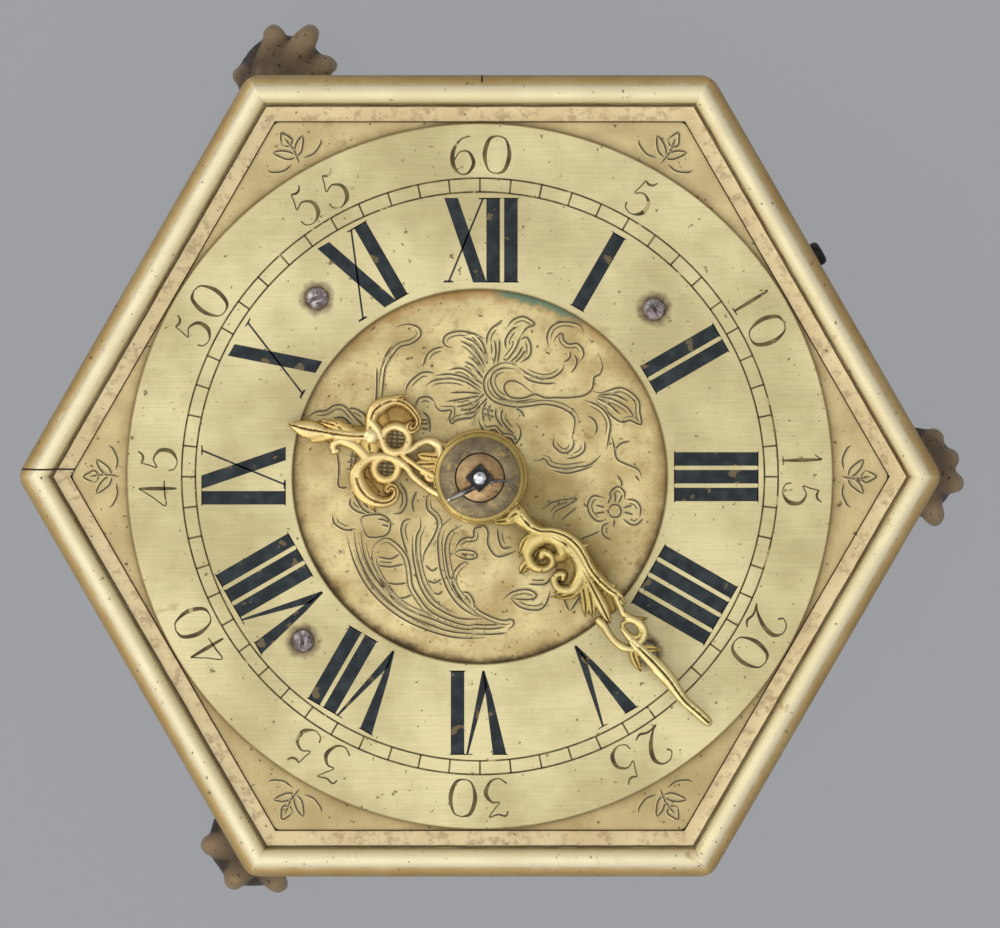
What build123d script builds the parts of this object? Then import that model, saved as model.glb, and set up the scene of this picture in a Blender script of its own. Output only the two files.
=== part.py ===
from build123d import *
import math
import os

os.makedirs("parts", exist_ok=True)

# Hexagonal horizontal table clock, millimetres. The dial's axis is Z, the surface it stands on
# is z = 0, twelve o'clock points to +Y and three o'clock to +X. Corners of the case lie at
# 0, 60, 120 ... degrees, flats at 30, 90, 150 ... degrees.

# Case and base
moulding_w = 7.1            # width of the top moulding round the dial plate
corner_blunt = 3.6          # radius of the blunted corners
foot_height = 17.0          # resting surface to the underside of the base plate
base_plate_t = 1.6
base_moulding_h = 7.4
seam = 0.1                  # gap between the base and the hinged case
wall_h = 33.9
wall_t = 1.6
wall_inset = 3.0            # the wall's outer face lies this far inside the top moulding
base_moulding_out = 0.2     # base moulding's foot beyond the top moulding
base_moulding_w = 5.7
top_moulding_h = 9.0
window_w = 44.0
window_h = 21.0
window_up = 1.0             # windows above the middle of the wall
window_land = 2.0           # width of the moulded frame round a window
frame_proud = 0.8
glass_t = 1.2
glass_lap = 1.5             # how far a pane laps behind the wall

# Dial
ring_outer_r = 52.7
ring_margin = 0.2           # dial plate beyond the chapter ring at the middle of each flat
dial_flats = 2 * (ring_outer_r + ring_margin)
case_flats = dial_flats + 2 * moulding_w    # across the flats of the top moulding, its widest part
dial_gap = 0.15             # shadow line round the dial plate
dial_t = 1.6
ledge_w = 1.4
ring_inner_r = 28.0
ring_t = 1.0
dial_screw_pcr = 36.1       # pitch radius of the four dial screws
dial_screw_at = (43.9, 132.4, 222.8, 313.5)
dial_screw_head_r = 1.65
dial_screw_head_t = 0.8
dial_screw_r = 0.9

# Feet
foot_at = (0.0, 120.0, 240.0)
foot_screw_r = 1.6
foot_pad_r = 4.6
foot_pad_t = 1.4
foot_inset = 6.6            # tenon's distance inside the base plate's corner
ball_reach = 6.7            # middle of the ball outside the tenon
ball_r = 8.2
ball_sink = 0.6             # depth of the flat under the ball
toe_r = 1.55
toe_spread = 49.0
toe_low, toe_high = -42.0, 78.0   # a toe's two ends, degrees above the ball's equator
claw_len = 2.4

# Hinge and catch
hinge_at = 210.0
hinge_pin_r = 0.7
knuckle_r = 1.4
knuckle_len = 6.0
knuckle_gap = 0.15
hinge_leaf_t = 0.8
hinge_leaf_h = 4.2
catch_at = 30.0
catch_offset = 2.9
catch_z_in_base = 5.8       # button's axis above the base plate's underside
catch_travel = 1.5
button_r = 1.9
button_shaft_r = 1.25
button_proud = 3.4          # button's face outside the top moulding's flat
bar_t = 1.6
bar_w = 4.4
slot_w = 2.2
hook_w = 1.6
hook_t = 0.8
hook_toe = 1.2

# Movement
plate_r = 45.0
plate_t = 1.6
plate_gap = 26.0            # between the plates
under_dial = 6.0            # front plate to dial plate
pillar_pcr = 40.0
pillar_at = (0.0, 85.0, 165.0, 264.0)
pillar_r = 2.3
pillar_pin_r = 0.45
fit = 0.05                  # radial running clearance of every pivot and pipe
clear = 0.3                 # air between moving pieces

# Train: teeth and modules
great_teeth, centre_pinion_teeth, great_module = 48, 8, 0.75
centre_teeth, third_pinion_teeth, centre_module = 48, 6, 0.6667
third_teeth, contrate_pinion_teeth, third_module = 45, 6, 0.6
contrate_teeth, escape_pinion_teeth, contrate_module = 40, 5, 0.54
cannon_teeth, minute_wheel_teeth, motion_module = 10, 30, 0.72
minute_pinion_teeth, hour_teeth = 8, 32
fusee_at = 215.0            # direction of the fusee from the centre arbor
third_at = 100.0
contrate_turn_off = 10.5    # direction of the contrate arbor seen from the third arbor
minute_wheel_at = 60.0
wheel_t = 1.0
great_wheel_t = 1.4
crown_teeth_h = 1.1
escape_teeth = 15
escape_r = 6.3
escape_depth = 3.0
verge_gap = 0.3             # escape teeth to the pallets' path
verge_r = 0.8
pallet_reach = 1.9
pallet_angle = 98.0
balance_r = 15.0
balance_rim = 1.3
balance_t = 1.0
barrel_dist = 24.0
barrel_at = 313.0
barrel_r = 16.0
barrel_h = 18.4
barrel_arbor_r = 2.0
fusee_big_r = 13.5
fusee_small_r = 5.5
fusee_turns = 6
fusee_h = 18.0
ratchet_teeth = 20
ratchet_r = 7.0

# Arbors
arbor_r = 1.2
pivot_r = 0.8
square_side = 2.6
cannon_wall = 0.75
hour_pipe_wall = 0.9
cannon_square = 3.0

# Hands
hour_hand_len = 30.6
minute_hand_len = 49.0
hour_hand_clock = 288.4     # degrees clockwise from twelve, as shown
minute_hand_clock = 137.0
hand_t = 1.2
hand_boss_r = 6.8
hand_lift = 1.2             # hour hand above the chapter ring
hand_gap = 1.2              # between the two hands
collet_r = 6.05
collet_t = 1.1
collet_step_r = 3.4
hand_pin_len = 10.0
hand_pin_r = 0.38
square_above = 2.2          # square above the collet
hand_pin_turn = 18.0

# Levels, from the base upwards
z_base = foot_height
z_base_top = z_base + base_plate_t
z_seam = z_base_top + base_moulding_h
z_wall = z_seam + seam
window_mid = z_wall + wall_h / 2 + window_up
z_wall_top = z_wall + wall_h
z_dial = z_wall_top + 4.4
z_dial_top = z_dial + dial_t
z_ring_top = z_dial_top + ring_t
z_front = z_dial - under_dial - plate_t
z_front_top = z_front + plate_t
z_back_top = z_front - plate_gap
z_back = z_back_top - plate_t

# Plan positions
case_a = case_flats / 2
wall_a = case_a - wall_inset
base_a = case_a + base_moulding_out
dial_a = dial_flats / 2


def polar(r, deg):
    return (r * math.cos(math.radians(deg)), r * math.sin(math.radians(deg)))


def away(start, r, deg):
    dx, dy = polar(r, deg)
    return (start[0] + dx, start[1] + dy)


great_d = great_module * (great_teeth + centre_pinion_teeth) / 2
third_d = centre_module * (centre_teeth + third_pinion_teeth) / 2
contrate_d = third_module * (third_teeth + contrate_pinion_teeth) / 2
motion_d = motion_module * (cannon_teeth + minute_wheel_teeth) / 2
fusee_xy = polar(great_d, fusee_at)
third_xy = polar(third_d, third_at)
contrate_xy = away(third_xy, contrate_d, contrate_turn_off)
minute_wheel_xy = polar(motion_d, minute_wheel_at)
barrel_xy = polar(barrel_dist, barrel_at)
contrate_r = contrate_module * contrate_teeth / 2

# Levels of the train
z_great = z_back_top + 0.8
z_fusee = z_great + great_wheel_t
z_barrel = z_fusee + 0.8
z_centre_wheel = z_front - 3.3
z_third_wheel = z_centre_wheel - 5.3
z_contrate = z_third_wheel - 4.2
z_crown_tips = z_contrate - 3.1
z_escape = z_crown_tips - 1.1
z_balance = z_back - 3.2
z_cock = z_back - 7.2

# The escape arbor lies along X, under the contrate wheel's rim
escape_pinion_x = contrate_xy[0] - contrate_r
escape_x = escape_pinion_x - 8.6
verge_x = escape_x - escape_depth - verge_gap - pallet_reach
escape_y = contrate_xy[1]
verge_xy = (verge_x, escape_y)


def disc(r, t, at=(0, 0), z=0.0):
    return Pos(at[0], at[1], z) * extrude(Circle(r), t)


def block(x0, x1, y0, y1, z0, z1):
    shape = Box(x1 - x0, y1 - y0, z1 - z0, align=(Align.MIN, Align.MIN, Align.MIN))
    return Pos(x0, y0, z0) * shape


def hexagon(apothem, blunt=0.0):
    shape = RegularPolygon(apothem, 6, major_radius=False)
    return fillet(shape.vertices(), blunt) if blunt else shape


def hex_prism(apothem, t, z, blunt=0.0):
    return Pos(0, 0, z) * extrude(hexagon(apothem, blunt), t)


def side_length(profile, apothem, deg):
    """One mitred length of a hexagonal moulding from its section in distance and height."""
    long = apothem * 2
    run = extrude(Plane.XZ * profile, long / 2, both=True)
    reach = apothem * 1.2
    half = reach * math.tan(math.radians(30))
    sector = extrude(Polygon((0, 0), (reach, -half), (reach, half), align=None), 200)
    return Rot(0, 0, deg) * (run & sector)


def hex_ring(profile, apothem):
    sides = [side_length(profile, apothem, 30 + 60 * k) for k in range(6)]
    ring = sides[0]
    for side in sides[1:]:
        ring = ring + side
    return ring


def on_side(shape, deg, offset=0.0):
    """Carries a piece modelled against the +X side to the side that faces deg."""
    return Rot(0, 0, deg) * Pos(0, offset, 0) * shape


def tooth_outline(teeth, module, aim, add=0.8, ded=1.2, root=0.52, tip=0.2):
    rp = teeth * module / 2
    pitch = 360 / teeth
    points = []
    for k in range(teeth):
        mid = aim + k * pitch
        for r, share in ((rp - ded * module, -root), (rp + add * module, -tip),
                         (rp + add * module, tip), (rp - ded * module, root)):
            points.append(polar(r, mid + share * pitch / 2))
    return Polygon(*points, align=None)


def wheel(teeth, module, aim, t, at, z, bore, spokes=4, hub_r=3.0):
    """Crossed-out wheel with one tooth centred on the direction aim."""
    rp = teeth * module / 2
    rim = rp - 1.2 * module - 1.3
    plan = tooth_outline(teeth, module, aim)
    if rim - hub_r > 2.0:
        window = Circle(rim) - Circle(hub_r)
        for k in range(spokes):
            arm = Pos(rim / 2, 0) * Rectangle(rim * 1.2, 1.3)
            window = window - Rot(0, 0, aim + 360 / spokes * k) * arm
        plan = plan - window
    plan = plan - Circle(bore)
    return Pos(at[0], at[1], z) * extrude(plan, t)


def pinion(teeth, module, aim, t, at, z):
    """Pinion with a space, not a leaf, centred on the direction aim."""
    plan = tooth_outline(teeth, module, aim + 180 / teeth, add=0.5, root=0.36, tip=0.18)
    return Pos(at[0], at[1], z) * extrude(plan, t)


# Base

def make_base_plate():
    plate = hex_prism(base_a - 1.2, base_plate_t, z_base, corner_blunt)
    for deg in foot_at:
        hole = polar(foot_tenon_r(), deg)
        plate = plate - disc(foot_screw_r, base_plate_t, hole, z_base)
    return plate - disc(winding_hole_r(), base_plate_t, fusee_xy, z_base)


def winding_hole_r():
    return square_side * 0.7071 + 1.4


def foot_tenon_r():
    return (base_a - 1.2) / math.cos(math.radians(30)) - foot_inset


def make_base_moulding():
    out, inn = base_a, base_a - base_moulding_w
    neck = wall_a + 0.6
    z0, z1 = z_base_top, z_seam
    edge = Polyline((inn, z0), (out, z0), (out, z0 + 1.8))
    step = Line((out, z0 + 1.8), (out - 0.5, z0 + 1.8))
    cove = RadiusArc((out - 0.5, z0 + 1.8), (neck, z1 - 1.2), 6.0)
    close = Polyline((neck, z1 - 1.2), (neck, z1), (inn, z1), (inn, z0))
    profile = make_face([*edge.edges(), *step.edges(), *cove.edges(), *close.edges()])
    ring = hex_ring(profile, out)
    ring = ring & hex_prism(out, base_moulding_h, z0, corner_blunt)
    bore = Cylinder(button_shaft_r + fit, 40, rotation=(0, 90, 0))
    bore = on_side(Pos(out, 0, z_base + catch_z_in_base) * bore, catch_at, catch_offset)
    return ring - bore


def make_foot(deg):
    """Claw-and-ball foot: a ball gripped by three toes, and an ankle up to the base plate."""
    r0, top = foot_tenon_r(), z_base
    ball, mid = r0 + ball_reach, ball_r - ball_sink
    body = disc(foot_pad_r, foot_pad_t, (r0, 0), top - foot_pad_t)
    body += disc(foot_screw_r, base_plate_t, (r0, 0), top)
    body += loft([Pos(ball - 0.8, 0, mid + ball_r * 0.45) * Ellipse(ball_r * 0.6, ball_r * 0.66),
                  Pos(r0 + 0.3, 0, top - foot_pad_t) * Ellipse(3.8, 4.2)])
    body += Pos(ball, 0, mid) * Sphere(ball_r)
    for turn in (-toe_spread, 0.0, toe_spread):
        toe = Rot(0, 0, toe_low) * Torus(ball_r + 0.1, toe_r, major_angle=toe_high - toe_low)
        toe += Pos(*polar(ball_r + 0.1, 16)) * Sphere(toe_r + 0.25)
        tip = polar(ball_r + 0.1, toe_low)
        claw = Cone(toe_r * 0.9, 0.25, claw_len, rotation=(90, 0, 0))
        toe += Pos(*tip) * Rot(0, 0, toe_low - 18) * Pos(0, -claw_len / 2, 0) * claw
        toe += Pos(*tip) * Sphere(toe_r)
        body += Pos(ball, 0, mid) * Rot(0, 0, turn) * Rot(90, 0, 0) * toe
    body -= block(0, 120, -40, 40, -20, 0)
    return Rot(0, 0, deg) * body


def hinge_line():
    return wall_a + 2.4, z_seam + seam / 2


def knuckles(which, bore):
    """Knuckles at every other place along the hinge; which is 0 for the base, 1 for the case."""
    a, z = hinge_line()
    shapes = []
    for k in range(5):
        if k % 2 != which:
            continue
        y = (k - 2) * knuckle_len
        tube = Cylinder(knuckle_r, knuckle_len - knuckle_gap, rotation=(90, 0, 0))
        tube = tube - Cylinder(bore, knuckle_len, rotation=(90, 0, 0))
        shapes.append((y, Pos(a, y, z) * tube))
    return shapes


def make_base_leaf():
    a, z = hinge_line()
    half = knuckle_len * 2.5
    leaf = block(base_a, base_a + hinge_leaf_t, -half, half, z_base_top, z - knuckle_r - 0.15)
    hole = Cylinder(hinge_pin_r, 60, rotation=(90, 0, 0))
    for y, tube in knuckles(0, hinge_pin_r):
        w = (knuckle_len - knuckle_gap) / 2
        web = block(a + 0.7, base_a + hinge_leaf_t, y - w, y + w, z - knuckle_r - 0.3, z)
        leaf += (web & block(0, 100, y - w, y + w, 0, z)) + tube
    return on_side(leaf - Pos(a, 0, z) * hole, hinge_at)


def make_case_leaf():
    a, z = hinge_line()
    half = knuckle_len * 2.5
    low = z + 0.85
    leaf = block(wall_a, wall_a + 0.9, -half, half, low, low + hinge_leaf_h)
    hole = Cylinder(hinge_pin_r + fit, 60, rotation=(90, 0, 0))
    for y, tube in knuckles(1, hinge_pin_r + fit):
        w = (knuckle_len - knuckle_gap) / 2
        web = block(wall_a + 0.4, a, y - w, y + w, z + 0.55, z + knuckle_r)
        leaf += web + tube
    return on_side(leaf - Pos(a, 0, z) * hole, hinge_at)


def make_hinge_pin():
    a, z = hinge_line()
    length = knuckle_len * 5 + 1.2
    pin = Cylinder(hinge_pin_r, length, rotation=(90, 0, 0))
    return on_side(Pos(a, 0, z) * pin, hinge_at)


# Catch: the hook on the case hangs through the sliding bar's slot

def hook_a():
    return base_a - base_moulding_w - 3.6


def make_catch_button():
    z = z_base + catch_z_in_base
    face = case_a + button_proud
    shaft_in = base_a - base_moulding_w - clear
    head_in = base_a + catch_travel + 0.1
    head = Cylinder(button_r, face - head_in, rotation=(0, 90, 0))
    head = fillet(head.edges().filter_by(GeomType.CIRCLE).sort_by(Axis.X)[-1:], 0.7)
    button = Pos((face + head_in) / 2, 0, z) * head
    shaft = Cylinder(button_shaft_r, head_in - shaft_in + 0.6, rotation=(0, 90, 0))
    button += Pos((head_in + shaft_in - 0.6) / 2, 0, z) * shaft
    slot_in = hook_a() - clear
    slot_out = hook_a() + hook_t + clear + catch_travel
    bar_in = slot_in - 1.7
    bar = block(bar_in, shaft_in, -bar_w / 2, bar_w / 2, z - bar_t / 2, z + bar_t / 2)
    bar -= block(slot_in, slot_out, -slot_w / 2, slot_w / 2, z - bar_t, z + bar_t)
    return on_side(button + bar, catch_at, catch_offset)


def make_catch_hook():
    z = z_base + catch_z_in_base
    inner = wall_a - wall_t
    arm_z = z_wall + 0.3
    low = z - bar_t / 2 - 0.4
    plate = block(inner - hook_t, inner, -3, 3, arm_z, arm_z + 3.8)
    arm = block(hook_a(), inner, -hook_w / 2, hook_w / 2, arm_z, arm_z + hook_t)
    stem = block(hook_a(), hook_a() + hook_t, -hook_w / 2, hook_w / 2, low - 1, arm_z)
    toe = block(hook_a() - hook_toe, hook_a(), -hook_w / 2, hook_w / 2, low - 1, low)
    return on_side(plate + arm + stem + toe, catch_at, catch_offset)


def make_catch_spring():
    z = z_base + catch_z_in_base
    bar_in = hook_a() - clear - 1.7
    face = bar_in - catch_travel - 0.2
    leaf = block(face - 0.4, face, -bar_w, bar_w, z_base_top, z + bar_t / 2)
    foot = block(face - 5, face, -bar_w, bar_w, z_base_top, z_base_top + 0.6)
    screw = disc(1.2, 0.6, (face - 2.9, 0), z_base_top + 0.6)
    return on_side(leaf + foot + screw, catch_at, catch_offset)


# Case

def make_wall(deg):
    inner = wall_a - wall_t
    mid = window_mid
    section = Pos((inner + wall_a) / 2, z_wall + wall_h / 2) * Rectangle(wall_t, wall_h)
    side = side_length(section, wall_a, 0)
    half = window_w / 2
    side -= block(inner - 1, wall_a + 1, -half, half, mid - window_h / 2, mid + window_h / 2)
    return Rot(0, 0, deg) * side


def make_window_frames():
    """Moulded frames on the outside of the six windows, hollowed to the glass."""
    mid = window_mid
    frames = []
    for k in range(6):
        half, rise = window_w / 2, window_h / 2
        land = window_land
        outer = block(wall_a, wall_a + frame_proud, -half - land, half + land,
                      mid - rise - land, mid + rise + land)
        outer = chamfer(outer.faces().sort_by(Axis.X)[-1].edges(), frame_proud * 0.55)
        inner = block(wall_a - 1, wall_a + 2, -half, half, mid - rise, mid + rise)
        frames.append(Rot(0, 0, 30 + 60 * k) * (outer - inner))
    return Compound(children=frames)


def make_window_panes():
    mid = window_mid
    half, rise = window_w / 2 + glass_lap, window_h / 2 + glass_lap
    inner = wall_a - wall_t
    panes = []
    for k in range(6):
        pane = block(inner - glass_t, inner, -half, half, mid - rise, mid + rise)
        panes.append(Rot(0, 0, 30 + 60 * k) * pane)
    return Compound(children=panes)


def make_top_moulding():
    """Rolled top moulding: cavetto, square edge, rounded crest, groove and inner band."""
    out = case_a
    z0 = z_wall_top
    crest = z0 + top_moulding_h
    band = z_ring_top - 0.6
    inn = dial_a + dial_gap
    ledge = inn - ledge_w
    cove = RadiusArc((wall_a, z0), (out - 0.4, z0 + 3.2), 4.5)
    edge = Polyline((out - 0.4, z0 + 3.2), (out, z0 + 3.6), (out, z0 + 5.0))
    roll = ThreePointArc((out, z0 + 5.0), (out - 0.5, z0 + 6.4), (out - 1.7, z0 + 7.2))
    bead = ThreePointArc((out - 1.7, z0 + 7.2), (out - 2.9, crest), (out - 4.1, z0 + 7.3))
    groove = Polyline((out - 4.1, z0 + 7.3), (out - 4.3, band - 0.6), (out - 4.8, band - 0.6),
                      (out - 4.8, band), (inn, band), (inn, z_dial), (ledge, z_dial),
                      (ledge, z_dial - 1.2), (wall_a - wall_t, z0), (wall_a, z0))
    curves = [*cove.edges(), *edge.edges(), *roll.edges(), *bead.edges(), *groove.edges()]
    ring = hex_ring(make_face(curves), out)
    return ring & hex_prism(out, top_moulding_h + 1, z0, corner_blunt)


# Dial

def make_dial_plate():
    plate = hex_prism(dial_a, dial_t, z_dial, 1.2)
    plate -= disc(hour_pipe_r() + 0.4, dial_t, z=z_dial)
    for deg in dial_screw_at:
        plate -= disc(dial_screw_r, dial_t, polar(dial_screw_pcr, deg), z_dial)
    return plate


def make_chapter_ring():
    z = z_dial_top
    ring = disc(ring_outer_r, ring_t, z=z) - disc(ring_inner_r, ring_t, z=z)
    ring = chamfer(ring.edges().group_by(Axis.Z)[-1], 0.15)
    for deg in dial_screw_at:
        at = polar(dial_screw_pcr, deg)
        ring -= disc(dial_screw_head_r, dial_screw_head_t, at, z_ring_top - dial_screw_head_t + 0.1)
        ring -= disc(dial_screw_r, ring_t, at, z)
    return ring


def make_dial_screws():
    screws = []
    for n, deg in enumerate(dial_screw_at):
        at = polar(dial_screw_pcr, deg)
        low = z_ring_top - dial_screw_head_t + 0.1
        head = disc(dial_screw_head_r, dial_screw_head_t, at, low)
        head = chamfer(head.edges().group_by(Axis.Z)[-1], 0.18)
        slot = Box(dial_screw_head_r * 3, 0.45, 0.8)
        head -= Pos(at[0], at[1], low + dial_screw_head_t) * Rot(0, 0, 25 + 50 * n) * slot
        length = low - z_dial + 3.0
        screws.append(head + disc(dial_screw_r, length, at, low - length))
    return Compound(children=screws)


def make_dial_posts():
    posts = []
    for deg in dial_screw_at:
        at = polar(dial_screw_pcr, deg)
        post = disc(2.2, under_dial, at, z_front_top)
        post += disc(1.3, plate_t, at, z_front)
        posts.append(post - disc(dial_screw_r, 3.0, at, z_dial - 3.0))
    return Compound(children=posts)


# Frame of the movement

def make_front_plate():
    plate = disc(plate_r, plate_t, z=z_front)
    for at, r in ((fusee_xy, arbor_r + fit), (third_xy, pivot_r + fit),
                  (contrate_xy, pivot_r + fit), (barrel_xy, barrel_arbor_r - 0.4),
                  ((0, 0), arbor_r + fit), (minute_wheel_xy, pivot_r)):
        plate -= disc(r, plate_t, at, z_front)
    for deg in pillar_at:
        plate -= disc(pillar_r - 0.9, plate_t, polar(pillar_pcr, deg), z_front)
    for deg in dial_screw_at:
        plate -= disc(1.3, plate_t, polar(dial_screw_pcr, deg), z_front)
    return plate


def make_back_plate():
    plate = disc(plate_r, plate_t, z=z_back)
    for at, r in ((fusee_xy, 1.6 + fit), (third_xy, pivot_r + fit),
                  (contrate_xy, pivot_r + fit), (barrel_xy, barrel_arbor_r),
                  ((0, 0), pivot_r + fit), (verge_xy, verge_r + clear)):
        plate -= disc(r, plate_t, at, z_back)
    for deg in pillar_at:
        plate -= disc(pillar_r - 0.9, plate_t, polar(pillar_pcr, deg), z_back)
    plate -= disc(1.0, plate_t, cock_screw_xy(), z_back)
    return plate


def make_pillars():
    """Turned baluster pillars, riveted in the front plate and pinned under the back plate."""
    pillars = []
    r, g = pillar_r, plate_gap
    for deg in pillar_at:
        outline = Polyline((0, 0), (r + 0.7, 0), (r + 0.7, 1.2), (r - 0.6, 1.8), (r - 0.6, 4.5),
                           (r + 0.4, g * 0.3), (r + 0.6, g * 0.36), (r - 0.4, g * 0.5),
                           (r - 0.5, g - 3.2), (r + 0.7, g - 2.2), (r + 0.7, g), (0, g), (0, 0))
        body = revolve(Plane.XZ * make_face(outline.edges()), Axis.Z)
        at = polar(pillar_pcr, deg)
        pillar = Pos(at[0], at[1], z_back_top) * body
        pillar += disc(r - 0.9, plate_t, at, z_front)
        tail = disc(r - 0.9, plate_t + 2.4, at, z_back - 2.4)
        hole = Cylinder(pillar_pin_r, 12, rotation=(90, 0, deg))
        pillar += tail - Pos(at[0], at[1], z_back - pillar_pin_r - 0.05) * hole
        pillars.append(pillar)
    return Compound(children=pillars)


def make_pillar_pins():
    pins = []
    for deg in pillar_at:
        at = polar(pillar_pcr, deg)
        pin = Cylinder(pillar_pin_r, 7.0, rotation=(90, 0, deg))
        pins.append(Pos(at[0], at[1], z_back - pillar_pin_r - 0.05) * pin)
    return Compound(children=pins)


# Train

def make_centre_arbor():
    foot = disc(pivot_r, plate_t + 0.7, z=z_back - 0.3)
    body = disc(1.7, z_front - z_back_top - 0.6, z=z_back_top + 0.3)
    leaves = pinion(centre_pinion_teeth, great_module, fusee_at, 3.0, (0, 0), z_great - 0.4)
    top = disc(arbor_r, cannon_bore_top() - z_front - 0.3 + 0.6, z=z_front - 0.3)
    return foot + body + leaves + top


def cannon_bore_top():
    return z_ring_top + 2.6


def make_centre_wheel():
    return wheel(centre_teeth, centre_module, third_at, wheel_t, (0, 0), z_centre_wheel, 1.7)


def make_third_arbor():
    at = third_xy
    body = disc(1.2, plate_gap - 0.6, at, z_back_top + 0.3)
    body += disc(pivot_r, plate_t, at, z_back) + disc(pivot_r, plate_t, at, z_front)
    body += disc(pivot_r, 0.4, at, z_back_top - 0.05) + disc(pivot_r, 0.4, at, z_front - 0.35)
    leaves = pinion(third_pinion_teeth, centre_module, third_at + 180, 2.6, at,
                    z_centre_wheel - 0.8)
    return body + leaves


def make_third_wheel():
    return wheel(third_teeth, third_module, contrate_turn_off, wheel_t, third_xy,
                 z_third_wheel, 1.2)


def make_contrate_arbor():
    at = contrate_xy
    body = disc(1.2, plate_gap - 0.6, at, z_back_top + 0.3)
    body += disc(pivot_r, plate_t, at, z_back) + disc(pivot_r, plate_t, at, z_front)
    body += disc(pivot_r, 0.4, at, z_back_top - 0.05) + disc(pivot_r, 0.4, at, z_front - 0.35)
    leaves = pinion(contrate_pinion_teeth, third_module, contrate_turn_off + 180, 2.6, at,
                    z_third_wheel - 0.8)
    return body + leaves


def make_contrate_wheel():
    """Wheel whose teeth stand out of its rim, pointing down to the escape pinion."""
    r_out, r_in = contrate_r + 0.5, contrate_r - 0.5
    plan = Circle(r_out) - (Circle(r_in - 0.6) - Circle(3.0))
    for k in range(4):
        arm = Pos(r_out / 2, 0) * Rectangle(r_out - 0.4, 1.4)
        plan = plan + Rot(0, 0, 45 + 90 * k) * arm
    body = extrude(plan - Circle(1.2), 0.9)
    depth = z_contrate - z_crown_tips
    rim = extrude(Circle(r_out) - Circle(r_in), -(depth - crown_teeth_h))
    body += rim
    pitch = 360 / contrate_teeth
    half_root = contrate_r * math.radians(pitch) * 0.24
    half_tip = half_root * 0.4
    z0, z1 = -(depth - crown_teeth_h) + 0.05, -depth
    tooth = extrude(Plane.YZ * Polygon((-half_root, z0), (half_root, z0), (half_tip, z1),
                                       (-half_tip, z1), align=None), r_out - r_in - 0.1)
    tooth = Pos(r_in + 0.05, 0, 0) * tooth
    for k in range(contrate_teeth):
        body += Rot(0, 0, 180 + k * pitch) * tooth
    return Pos(contrate_xy[0], contrate_xy[1], z_contrate) * body


def along_x(shape, x):
    """Lays a piece modelled along Z onto the escape arbor's line."""
    return Pos(x, escape_y, z_escape) * Rot(0, 90, 0) * shape


def counter_x():
    return escape_pinion_x + 2.6


def make_escape_arbor():
    inner = escape_x - 1.0
    outer = counter_x()
    shaft = along_x(extrude(Circle(0.7), outer - inner - 0.4), inner + 0.2)
    tips = along_x(extrude(Circle(0.5), outer - inner + 2.4), inner - 1.2)
    plan = tooth_outline(escape_pinion_teeth, contrate_module, 0, add=0.5, root=0.36, tip=0.18)
    leaves = along_x(extrude(Rot(0, 0, escape_pinion_aim()) * plan, 2.4), escape_pinion_x - 1.2)
    return shaft + tips + leaves


def escape_pinion_aim():
    return 180 + 180 / escape_pinion_teeth


def make_escape_wheel():
    """Crown wheel with fifteen ratchet-shaped teeth that face the verge."""
    cup = extrude(Circle(escape_r) - Circle(0.7), 0.9)
    cup += extrude(Circle(escape_r) - Circle(escape_r - 0.7), -(escape_depth - 2.0))
    pitch = 360 / escape_teeth
    w = escape_r * math.radians(pitch)
    z0, z1 = -(escape_depth - 2.0) + 0.05, -escape_depth
    tooth = extrude(Plane.YZ * Polygon((-w * 0.42, z0), (w * 0.1, z0), (w * 0.02, z1),
                                       (-w * 0.06, z1), align=None), 0.5)
    tooth = Pos(escape_r - 0.62, 0, 0) * tooth
    for k in range(escape_teeth):
        cup += Rot(0, 0, k * pitch) * tooth
    return along_x(cup, escape_x)


def z_bridge():
    return z_escape + escape_r + 0.6


def make_verge_staff():
    x, y = verge_xy
    top = z_bridge() - 0.2
    staff = disc(verge_r, top - z_balance + 1.0, verge_xy, z_balance - 1.0)
    staff += disc(0.5, z_balance - z_cock - 0.2, verge_xy, z_cock)
    staff += disc(0.5, 1.0, verge_xy, top)
    for side, turn in ((1, -pallet_angle / 2), (-1, pallet_angle / 2)):
        flag = block(0.2, pallet_reach, -0.25, 0.25, -0.9, 0.9)
        z = z_escape + side * (escape_r - 0.6)
        staff += Pos(x, y, z) * Rot(0, 0, turn) * flag
    return staff


def make_balance_wheel():
    plan = Circle(balance_r) - Circle(balance_r - balance_rim)
    for k in range(3):
        arm = Pos(balance_r / 2 - 0.2, 0) * Rectangle(balance_r - 0.8, 1.6)
        plan += Rot(0, 0, 30 + 120 * k) * arm
    plan += Circle(2.4)
    body = extrude(plan - Circle(verge_r), balance_t)
    return Pos(verge_x, escape_y, z_balance) * body


def make_hairspring():
    """Flat spiral of three turns, outer end pinned in a stud under the back plate."""
    r0, r1, turns, half = verge_r + 0.6, 6.4, 3.0, 0.11
    outer, inner = [], []
    steps = 54
    for k in range(steps + 1):
        deg = 360 * turns * k / steps
        r = r0 + (r1 - r0) * k / steps
        outer.append(polar(r + half, deg))
        inner.append(polar(r - half, deg))
    ribbon = extrude(Polygon(*outer, *reversed(inner), align=None), 0.6)
    stud = Pos(r1, 0, 0) * extrude(Circle(0.6), z_back - z_balance - 1.5)
    return Pos(verge_x, escape_y, z_balance + 1.5) * (ribbon + stud)


def cock_at():
    return 200.0


def cock_screw_xy():
    return away(verge_xy, balance_r + 4.6, cock_at())


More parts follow.
